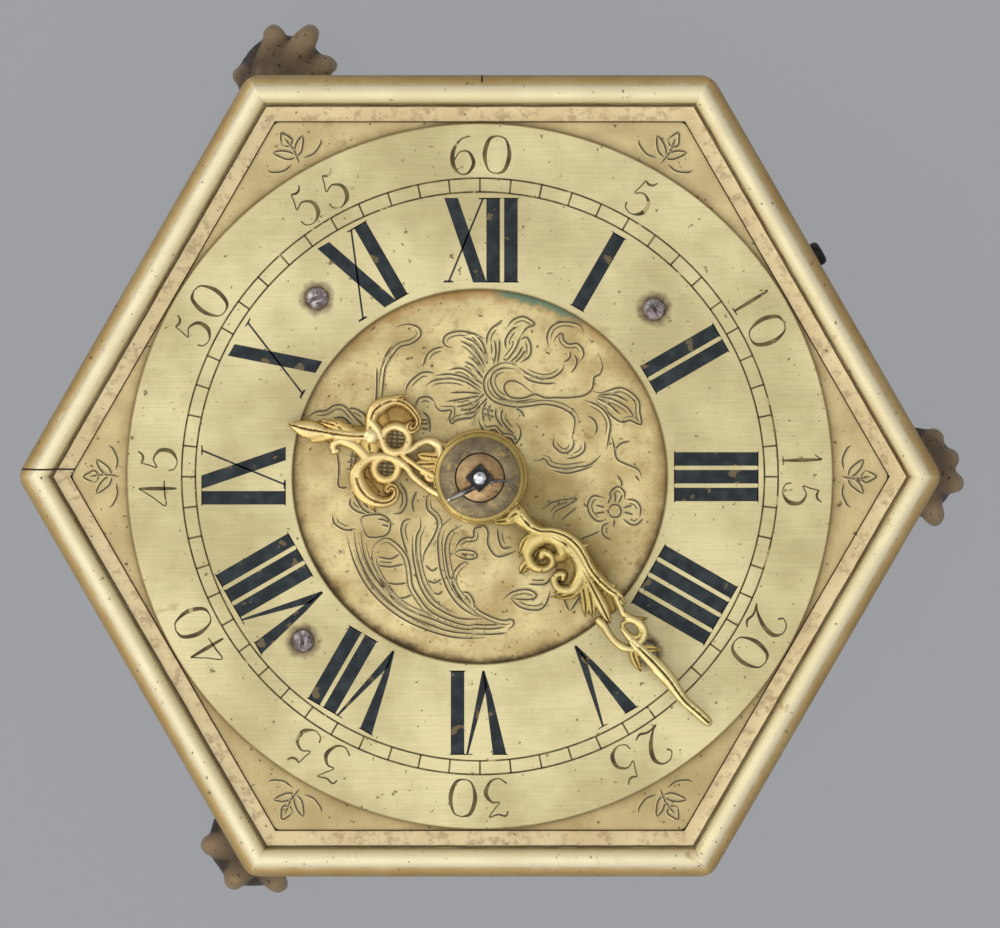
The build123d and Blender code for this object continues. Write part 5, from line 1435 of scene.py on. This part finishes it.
# the centre's leaves, stem and flower: x and y of each point on the dial in tenths of a millimetre
FOLIAGE: tuple[tuple[int, ...], ...] = (
    (-156, 107, -154, 135, -154, 163),
    (-149, 106, -146, 126, -143, 153, -140, 166, -130, 182, -119, 194, -104, 198, -93, 205, -88, 213, -91,
     222, -102, 227, -113, 227, -126, 223),
    (-147, 161, -144, 174, -138, 186, -130, 196),
    (-40, 193, -51, 195, -55, 203, -51, 211, -40, 216, -25, 217, -8, 213, 8, 205),
    (-54, 194, -68, 191, -79, 182, -85, 164),
    (-68, 155, -85, 156, -98, 148, -108, 137, -111, 126),
    (-68, 112, -77, 119, -91, 117, -96, 106),
    (-68, 112, -65, 103, -57, 98, -43, 99, -46, 88, -42, 79, -36, 84, -23, 87, -11, 89, -2, 99),
    (-81, 136, -68, 144, -43, 146, -21, 141, 2, 126),
    (-47, 159, -30, 162, -15, 155, 2, 137),
    (-23, 172, -9, 164, 3, 148),
    (-66, 151, -45, 153, -21, 147, 2, 132),
    (-45, 125, -23, 126, 2, 124),
    (-51, 112, -26, 116, 2, 121),
    (-36, 104, -17, 108, 2, 117),
    (-30, 99, -11, 102, 0, 113),
    (-26, 93, -8, 97, 2, 110),
    (-15, 186, -4, 175, 6, 157),
    (-30, 203, -15, 195, 0, 179, 8, 164),
    (-25, 208, -8, 201, 6, 184, 12, 168),
    (-258, 89, -245, 97, -230, 99, -219, 106, -204, 106, -189, 91, -177, 79, -172, 69),
    (-200, 100, -189, 102, -175, 95, -166, 82),
    (-219, 88, -204, 88, -192, 77, -183, 64),
    (-85, 97, -77, 89, -75, 79, -75, 66),
    (-214, 37, -211, 16, -212, -11),
    (-89, 84, -77, 85),
    (-88, 79, -75, 79),
    (-88, 72, -76, 71),
    (-196, 31, -181, 29),
    (-199, 22, -183, 20),
    (-200, 11, -185, 11),
    (-191, 37, -194, 7),
    (-185, 35, -189, 5),
    (56, 166, 36, 170, 18, 162, 7, 147, 6, 133, 12, 120, 26, 110, 52, 104, 72, 105, 97, 108, 121, 103, 137,
     93, 142, 82, 139, 64, 138, 56, 145, 53),
    (58, 163, 72, 153, 89, 147, 105, 147, 117, 153, 124, 161, 125, 168),
    (52, 161, 34, 162, 20, 155, 16, 143, 19, 132, 26, 122, 38, 115, 54, 112, 82, 116),
    (64, 151, 76, 143, 97, 139, 113, 140),
    (82, 123, 72, 130, 62, 138, 50, 143, 40, 141, 36, 133, 42, 121, 54, 117, 68, 118, 82, 123, 97, 118,
     115, 118, 133, 118, 155, 121, 167, 130, 170, 143, 171, 149, 179, 153, 183, 164, 180, 176, 176, 185),
    (103, 194, 100, 208, 105, 222, 117, 230, 133, 231, 149, 226, 155, 216),
    (111, 201, 113, 208, 123, 214, 125, 204, 133, 198, 145, 199, 153, 191, 155, 181, 149, 172),
    (135, 187, 134, 177, 125, 171),
    (141, 182, 145, 174, 143, 164, 136, 155),
    (10, 197, 11, 210, 18, 222, 32, 230),
    (40, 222, 48, 233, 62, 239, 74, 235, 82, 227, 70, 222, 60, 209),
    (22, 204, 24, 185, 20, 168),
    (29, 206, 29, 189, 26, 168),
    (39, 191, 38, 204, 46, 218, 56, 224),
    (38, 172, 46, 181, 54, 193, 60, 209),
    (59, 204, 70, 208, 76, 195, 74, 180, 60, 170),
    (45, 171, 56, 181, 64, 195),
    (52, 170, 62, 180, 68, 189),
    (-10, 216, 4, 199, 12, 174),
    (-13, 204, 2, 189, 10, 168),
    (-13, 191, 0, 178, 8, 162),
    (-13, 178, -2, 166, 6, 155),
    (-13, 164, -3, 156, 6, 145),
    (-13, 149, 6, 137),
    (-13, 105, -2, 116, 8, 125),
    (-10, 97, 2, 108, 12, 119),
    (167, 128, 179, 125, 191, 128, 203, 132, 214, 132, 228, 124, 238, 112, 239, 97, 241, 78, 224, 84, 214,
     81, 201, 87, 185, 103, 171, 116),
    (173, 118, 193, 108, 210, 92),
    (175, 120, 197, 116, 220, 103, 232, 86),
    (177, 122, 201, 122, 222, 112),
    (161, 91, 171, 84, 175, 72, 171, 62),
    (155, 114, 173, 108, 187, 97, 195, 80, 193, 60, 189, 41),
    (197, 60, 201, 43, 205, 26, 220, 18, 236, 11, 242, -1),
    (111, 59, 110, 47, 121, 36, 133, 37, 140, 47, 139, 57),
    (157, 53, 156, 39, 145, 30, 129, 26),
    (84, 23, 97, 26, 105, 16, 125, 12, 145, 14, 165, 18, 181, 32),
    (109, 9, 129, 5, 149, 9, 169, 16),
    (224, 53, 210, 49, 201, 39),
    (-3, 89, 0, 78, 8, 68, 22, 70, 30, 60, 46, 57, 52, 49, 60, 59, 60, 72, 54, 80),
    (34, 103, 32, 87, 42, 72, 52, 64),
    (24, 103, 24, 89, 34, 74),
    (10, 112, 4, 99, 6, 82),
    (16, 108, 12, 97, 16, 82),
    (2, 103, 22, 97),
    (1, 95, 22, 89),
    (52, 103, 62, 97, 66, 89),
    (192, -52, 195, -44, 202, -42, 208, -44, 211, -52, 208, -59, 202, -61, 195, -59, 192, -52),
    (187, -32, 169, -29, 161, -42, 165, -57, 177, -67, 189, -64),
    (193, -34, 195, -23, 206, -15, 216, -23, 216, -34),
    (218, -34, 232, -36, 240, -46, 239, -61),
    (244, -63, 234, -72, 224, -71, 214, -63),
    (193, -69, 183, -75, 185, -88, 197, -95),
    (187, -46, 173, -43),
    (187, -53, 172, -55),
    (191, -41, 197, -27),
    (202, -39, 203, -25),
    (207, -40, 213, -27),
    (214, -47, 228, -43),
    (215, -53, 229, -57),
    (201, -64, 200, -75),
    (205, 2, 212, -9, 210, -17),
    (232, 2, 238, -7),
    (109, -63, 113, -52, 129, -44, 145, -34, 137, -33, 113, -37, 91, -49),
    (121, -65, 131, -57, 145, -46),
    (149, -94, 165, -88, 179, -82),
    (-8, -75, 4, -73, 12, -82, 12, -102, 24, -119, 40, -117, 54, -111),
    (26, -78, 28, -94, 34, -107, 48, -105),
    (34, -184, 48, -173, 70, -169, 84, -176, 80, -183, 62, -184, 46, -182),
    (46, -183, 58, -194, 72, -199, 89, -199, 99, -190, 105, -171),
    (72, -161, 97, -161, 107, -150),
    (125, -182, 133, -201),
    (151, -178, 135, -201),
    (-14, -182, -8, -194, 6, -205, 32, -215, 48, -214, 50, -222, 40, -231),
    (-14, -221, 10, -222, 34, -221),
    (-14, -227, 16, -228, 38, -225),
    (-14, -236, 16, -236, 40, -234),
    (-199, -90, -194, -110, -186, -133, -170, -163, -147, -189, -120, -210, -91, -225, -52, -238, -20,
     -242, 8, -241),
    (-188, -82, -186, -103, -178, -129, -163, -157, -140, -183, -114, -204, -81, -219, -43, -232, 8, -236),
    (-178, -82, -176, -103, -170, -125, -155, -153, -132, -180, -105, -200, -72, -213, -33, -227, 8, -230),
    (-161, -108, -161, -127, -151, -151, -134, -176, -120, -193, -89, -206),
    (-161, -110, -157, -101, -145, -93, -134, -94, -120, -105, -109, -120, -104, -140, -101, -163, -91,
     -181, -76, -200, -52, -213, -23, -222, 8, -223),
    (-101, -88, -101, -110, -97, -138, -89, -166, -72, -191, -43, -208, -23, -213, 8, -213),
    (-89, -60, -89, -76, -95, -91, -95, -118, -89, -148, -78, -172, -62, -191, -43, -204),
    (-95, -22, -101, -39, -99, -54),
    (-74, -24, -80, -33, -78, -50, -66, -62, -64, -76, -72, -95, -83, -114, -85, -129),
    (-103, -63, -114, -67, -118, -80, -114, -99, -107, -120),
    (-43, -62, -58, -76, -63, -95, -62, -118, -58, -144, -47, -172, -31, -193, -12, -206, 4, -211),
    (-27, -73, -45, -84, -52, -103, -50, -129, -43, -157, -27, -185, -12, -202),
    (-16, -125, -31, -133, -41, -148, -39, -166, -25, -187, -8, -204),
    (-29, -173, -18, -174, -10, -185, -7, -202),
    (-39, -116, -29, -110, -10, -112, -4, -120, -16, -124, -29, -121, -39, -116),
    (-37, -108, -31, -97, -20, -91, -10, -91, -8, -78, 8, -75),
    (-81, -133, -72, -141, -63, -136),
    (-80, -155, -68, -159, -57, -153),
    (-70, -174, -62, -176, -56, -171),
    (-176, -73, -178, -63, -169, -58, -149, -57, -136, -65, -134, -76, -141, -88, -159, -91, -170, -88,
     -176, -73),
    (-134, -71, -143, -65, -153, -64),
    (-135, -75, -147, -72),
    (-194, -32, -194, -43, -184, -52, -170, -56),
    (-190, -22, -184, -35, -174, -50, -161, -56),
    (-221, -58, -217, -71, -201, -80, -186, -78),
    (-120, -9, -111, -24, -110, -41, -118, -54, -130, -56),
    (-159, -46, -155, -56),
    (-212, 2, -211, -15, -198, -17),
    (-80, -201, -81, -206),
    (-72, -206, -74, -211),
    (-62, -210, -64, -216),
    (-52, -214, -54, -221),
    (-43, -218, -45, -224),
    (-33, -221, -35, -227),
    (-153, -120, -134, -123, -120, -116),
    (-155, -133, -134, -135, -114, -131),
    (-141, -159, -124, -161, -109, -159),
    (-126, -183, -112, -181, -101, -176),
)

# the hour hand along its length: webs, leaves by the boss, two rings, scrolls, then the spear
HOUR_LIMBS = (
    Drawn(0.3, False, (1340, -500, 240, 1600, -460, 300, 1700, -240, 220)),
    Drawn(0.3, False, (1300, 660, 220, 1520, 640, 260, 1660, 460, 220)),
    Drawn(0.55, False, (1760, 20, 260, 2060, 40, 240, 2440, 80, 200)),
    Drawn(0.8, True, (665, -87, 111, 906, -35, 82, 940, -18, 37)),
    Drawn(0.8, True, (636, 0, 111, 893, 95, 93, 923, 105, 44)),
    Drawn(0.8, True, (602, 104, 111, 811, 193, 82, 849, 209, 37)),
    Drawn(0.9, False, (588, 205, 74, 677, 264, 74, 752, 250, 67, 751, 192, 56, 695, 193, 56)),
    Drawn(1, False, (661, -165, 111, 752, -260, 102, 886, -273, 78, 1000, -197, 74, 1081, -83, 70, 1188,
                     14, 63)),
    Drawn(0.8, False, (770, -254, 74, 663, -260, 93, 648, -304, 37)),
    Drawn(0.95, False, (1175, -196, 85, 1188, -45, 85, 1304, 53, 85, 1457, 44, 85, 1558, -69, 85, 1544,
                        -220, 85, 1428, -318, 85, 1276, -309, 85, 1175, -196, 85)),
    Drawn(0.9, False, (460, 230, 93, 671, 195, 74, 859, 167, 63, 1036, 114, 59, 1193, 60, 59)),
    Drawn(0.95, False, (379, 415, 111, 575, 423, 82, 771, 372, 74, 954, 299, 74, 1084, 207, 78, 1262, 151,
                        85, 1457, 162, 89, 1629, 244, 93, 1740, 387, 104, 1771, 532, 130)),
    Drawn(0.9, False, (1195, 263, 82, 1206, 396, 82, 1310, 484, 82, 1446, 476, 82, 1535, 376, 82, 1523,
                       243, 82, 1420, 155, 82, 1284, 164, 82, 1195, 263, 82)),
    Drawn(0.95, True, (1756, -80, 74, 1802, -267, 104, 1806, -419, 130, 1748, -535, 148, 1643, -637, 111,
                       1512, -690, 82, 1358, -674, 70, 1198, -583, 67, 1122, -493, 63, 1132, -384, 63,
                       1200, -332, 74, 1242, -386, 67, 1217, -432, 44)),
    Drawn(0.9, True, (1701, -570, 74, 1583, -696, 74, 1468, -767, 48, 1392, -807, 11)),
    Drawn(0.45, False, (1725, -465, 130, 1667, -350, 167, 1576, -284, 111)),
    Drawn(1, False, (1799, -268, 82, 1684, -191, 85, 1569, -84, 78)),
    Drawn(1.15, False, (1733, -68, 156, 1728, -68, 156)),
    Drawn(0.8, True, (1745, -45, 130, 1705, 86, 208, 1643, 200, 82)),
    Drawn(0.7, True, (1825, -47, 74, 1871, 55, 82, 1863, 139, 26)),
    Drawn(1, True, (1750, -62, 93, 1983, 15, 111, 2225, 66, 107, 2394, 94, 93, 2510, 110, 150, 2630, 130,
                    185, 2770, 145, 135, 2900, 150, 50, 2960, 151, 12)),
    Drawn(0.85, True, (1917, -26, 74, 2114, -19, 148, 2264, -51, 111, 2420, -42, 70, 2548, -38, 15)),
    Drawn(0.85, True, (2147, 2, 111, 2238, -64, 100, 2225, -174, 15)),
    Drawn(0.85, False, (1871, 55, 56, 2085, 68, 67, 2267, 119, 63, 2435, 210, 78, 2539, 267, 52)),
    Drawn(0.95, False, (1706, 250, 115, 1851, 173, 104, 1984, 131, 104, 2139, 144, 93, 2220, 229, 78, 2186,
                        314, 78, 2129, 294, 48)),
    Drawn(0.95, True, (1771, 532, 130, 1720, 628, 160, 1636, 728, 171, 1508, 804, 152, 1355, 836, 114,
                       1221, 811, 95, 1125, 730, 87, 1105, 621, 72, 1161, 550, 68, 1233, 561, 72, 1241,
                       617, 61)),
    Drawn(0.8, True, (1521, 828, 103, 1415, 902, 65, 1340, 991, 11)),
    Drawn(0.8, True, (1687, 637, 95, 1734, 771, 57, 1737, 821, 15)),
    Drawn(0.5, False, (1589, 624, 114, 1431, 729, 114)),
)

# the minute hand along its length: webs, long leaves, two scrolls, the pierced eye, then the pointer
MINUTE_LIMBS = (
    Drawn(0.3, False, (1360, -60, 240, 1540, -160, 280, 1520, 60, 200)),
    Drawn(0.3, False, (1840, 40, 240, 2020, -100, 220)),
    Drawn(0.5, False, (900, 40, 180, 1260, 120, 160, 1660, 260, 260, 2060, 220, 280, 2460, 140, 300, 2700,
                       100, 200)),
    Drawn(0.9, True, (747, -96, 97, 765, 36, 175, 875, 41, 164, 1037, 40, 117)),
    Drawn(0.8, True, (660, -260, 78, 754, -131, 117, 841, 33, 117)),
    Drawn(0.8, True, (666, 141, 39, 815, 62, 117, 979, 40, 97)),
    Drawn(1, True, (840, 60, 117, 1027, 49, 117, 1191, 113, 90, 1336, 249, 97, 1525, 344, 113, 1731, 368,
                    121, 1917, 336, 101, 2119, 278, 101, 2313, 260, 101, 2506, 270, 101, 2671, 306, 97,
                    2841, 296, 39)),
    Drawn(0.8, False, (1793, 378, 70, 1822, 522, 16)),
    Drawn(0.8, False, (2416, 272, 86, 2555, 373, 31)),
    Drawn(0.8, False, (2568, 294, 70, 2670, 347, 19)),
    Drawn(1, True, (1397, 192, 97, 1568, 249, 101, 1775, 246, 94, 1997, 202, 86, 2205, 144, 94, 2413, 85,
                    113, 2642, 21, 129, 2804, -30, 90, 2912, -61, 16)),
    Drawn(0.9, True, (2108, 153, 82, 2289, 65, 94, 2477, -43, 101, 2616, -147, 62, 2653, -193, 16)),
    Drawn(0.85, True, (2137, 71, 74, 2302, -34, 90, 2461, -144, 101, 2548, -220, 62, 2585, -265, 16)),
    Drawn(0.55, False, (1732, 313, 156, 2024, 231, 195, 2302, 107, 253, 2517, 56, 214, 2676, 30, 117)),
    Drawn(0.9, False, (1653, 143, 117, 1472, 203, 136, 1306, 114, 164, 1240, -68, 164, 1294, -241, 121,
                       1416, -314, 101, 1554, -307, 82, 1662, -218, 74, 1676, -90, 70, 1579, -26, 70, 1469,
                       -60, 86, 1485, -135, 70)),
    Drawn(0.8, True, (1192, 58, 97, 1150, -120, 97, 1187, -249, 78, 1268, -376, 16)),
    Drawn(0.8, True, (1413, -311, 117, 1432, -437, 109, 1447, -533, 27)),
    Drawn(0.75, False, (1551, -332, 78, 1681, -277, 16)),
    Drawn(0.7, False, (1671, -118, 78, 1655, 5, 97, 1695, 104, 117, 1678, 255, 117)),
    Drawn(0.95, False, (1678, 255, 117, 1830, 249, 121, 1991, 196, 129, 2112, 73, 129, 2160, -107, 113,
                        2098, -218, 90, 1978, -274, 82, 1867, -235, 82, 1844, -144, 74, 1902, -73, 62,
                        1948, -132, 47)),
    Drawn(0.8, True, (2221, -7, 86, 2211, -187, 90, 2127, -326, 58, 2017, -441, 12)),
    Drawn(0.8, False, (2102, -248, 58, 2007, -364, 16)),
    Drawn(1, False, (2762, -159, 86, 2873, -154, 94, 3025, -187, 82, 3177, -193, 82, 3314, -159, 90, 3434,
                     -81, 66)),
    Drawn(0.8, False, (2859, -141, 66, 2841, -238, 19)),
    Drawn(1, False, (2678, 272, 78, 2824, 217, 70, 2949, 182, 82, 3086, 216, 90, 3210, 264, 90, 3343, 238,
                     74, 3416, 142, 74, 3401, -9, 86)),
    Drawn(0.8, True, (3116, 243, 70, 3184, 315, 58, 3232, 401, 12)),
    Drawn(0.9, False, (3048, 62, 55, 3083, 179, 55, 3211, 223, 55, 3330, 168, 55, 3321, 74, 55, 3203, 26,
                       55, 3048, 62, 55)),
    Drawn(1, False, (3077, 9, 43, 3228, 3, 78, 3424, 10, 105)),
    Drawn(1.1, True, (3339, -6, 97, 3573, 6, 132, 3856, 14, 156, 3879, 13, 170, 4132, 5, 155, 4492, -40,
                      115, 4755, -16, 115, 4940, -2, 105, 4992, 1, 80)),
    Drawn(0.9, True, (3405, -64, 70, 3509, 26, 110, 3602, 126, 90, 3706, 216, 20)),
    Drawn(0.9, True, (3405, -64, 70, 3501, -133, 110, 3618, -180, 90, 3746, -216, 20)),
)


def dress_dial() -> None:
    """Makes the dial's waxes, cut brass and screw steel, then its pieces."""
    # shellac wax, melted in and rubbed level: blue-black with brown losses
    wax = SealingWax("engravers_wax").build()
    # the dial plate's own gilt brass where it is cut: dirt in the bottom of each line and a painted
    # highlight on its lips
    cut = CutLine("graver_cut_brass", **PLATE).build()
    # the same wax in hairline cuts, mostly dirt: thin brown lines
    brown = SealingWax("brown_line_wax", body="#4A3E22", thin="#77683C", ground="#B8A774",
                       lost=0.66).build()
    # carbon steel, rusted and wiped: pinkish grey with a dark slot
    screw = AgedMetal("rusted_screw_steel", fresh="#B4AAAA", worn="#6A5E5A", grime_and_shade="#241A15",
                      stain="#5A3A2C", cloud=1.4, stains=0.58, metallic=0.75, rough=0.35,
                      hollow=1.1).build()
    Dial(wax, brown, cut, screw).dress()


def cast_feet() -> None:
    """Makes the bronze, then the three feet."""
    # cast bronze, chased and never gilt: a tan painted highlight on the knuckles, black-brown painted shade
    # between the toes
    knuckles = ((0.0, "#15120D"), (0.25, "#2C261D"), (0.5, "#54473A"), (0.75, "#80694C"), (1.0, "#AE9470"))
    bronze = Chased("brown_cast_bronze", fresh="#8A7355", worn="#5E4C36", grime_and_shade="#1C150D", stain="#3C3E32",
                    cloud=3, specks=0.64, stains=0.58, streak_depth=0.10, metallic=0.45, rough=0.46,
                    hollow=3.0, pitting=0.08, ramp=knuckles).build()
    for node, turn, toes, shift in (
            ("right", 0, ((54, 0.93), (19, 0.95), (-13, 1.02), (-60, 1.12), (180, 1.0)), (0.0, -0.8)),
            ("upper_left", 120, ((54, 0.92), (-18, 1.05), (-59, 1.16), (-100, 1.0), (180, 1.0)),
             (2.8, 2.4)),
            ("lower_left", 240, ((105, 1.0), (58, 1.08), (2, 0.98), (-54, 0.98), (180, 1.0)),
             (-1.9, -0.4))):
        PawFoot("paw_foot_" + node, turn, toes, shift, bronze).build()


def chase_hands() -> None:
    """Makes the hands' gilding, bright and worn, then both hands."""
    # brass, pierced, chased and fire-gilt: a full-gold painted highlight on the high leaves, brown painted
    # shade in the hollows
    bright = ((0.0, "#4A3414"), (0.34, "#84622A"), (0.58, "#B8914A"), (0.80, "#E0C078"), (1.0, "#F8E6B0"))
    gilt = Chased("chased_fire_gilt", fresh="#E6CB82", worn="#AE8A42", grime_and_shade="#4A3214", stain="#6E5058",
                  rough=0.34, ramp=bright, **GILDING).build()
    # the same with the gold worn thin by fingers: more olive and darker, and the same painted highlight and
    # shade
    rubbed = ((0.0, "#3A2A0E"), (0.34, "#6A5220"), (0.58, "#9A7E3C"), (0.80, "#CCB36A"), (1.0, "#F0E0A4"))
    olive = Chased("worn_chased_gilt", fresh="#D6C07A", worn="#9A803C", grime_and_shade="#3A2A10", stain="#6E5230",
                   rough=0.36, ramp=rubbed, **GILDING).build()
    CarvedHand("carved_hour_hand", "hour_hand", "hour", turn=161.6, foot=68.22, thick=1.25, hole=4.6,
               boss=7.1, limbs=HOUR_LIMBS, gilt=gilt, swell=1.5).build()
    CarvedHand("carved_minute_hand", "minute_hand", "minute", turn=-47.0, foot=70.62, thick=1.2, hole=3.2,
               boss=6.75, limbs=MINUTE_LIMBS, gilt=olive, swell=1.36).build()


def fit_centre() -> None:
    """Makes the metals at the dial's centre, then the stack on the minute hand."""
    # carbon steel, turned and rubbed: brown-grey, with brass smeared on its edge
    collet = AgedMetal("rubbed_collet_steel", fresh="#90805F", worn="#6C5F4C", grime_and_shade="#3A2E22",
                       stain="#BFA662", cloud=1.8, stains=0.56, specks=0.70, streak_depth=0.08,
                       metallic=0.8, rough=0.42, hollow=0.5).build()
    # brass, turned, rubbed by the steel round it: brown-pink
    washer = AgedMetal("rubbed_washer_brass", fresh="#B89A70", worn="#96784E", grime_and_shade="#4A3A22",
                       stain="#7E5E3A", cloud=1.5, hollow=0.5).build()
    # carbon steel, filed to a taper: bright flats and dark ends
    pin = AgedMetal("filed_pin_steel", fresh="#B4AEA6", worn="#4C453F", grime_and_shade="#241E18", cloud=2.5,
                    stains=0.66, metallic=0.9, rough=0.3, hollow=0.3).build()
    # carbon steel, burnished and painted near white as a glint: the one bright spark in the middle of the
    # dial
    tip = AgedMetal("burnished_steel_tip", fresh="#F4F6F8", worn="#B8BCC2", grime_and_shade="#50484A", cloud=0.7,
                    stains=0.7, metallic=0.85, rough=0.25, hollow=0.2).build()
    CentreStack(collet, washer, pin, tip).dress()


def main() -> None:
    """Builds the dressed clock and its stage."""
    logging.basicConfig(level=logging.INFO, format="%(message)s")
    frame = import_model()
    Finishes(frame["nodes"]).dress()
    dress_dial()
    cast_feet()
    chase_hands()
    fit_centre()
    Studio().build()


if __name__ == "__main__":
    main()
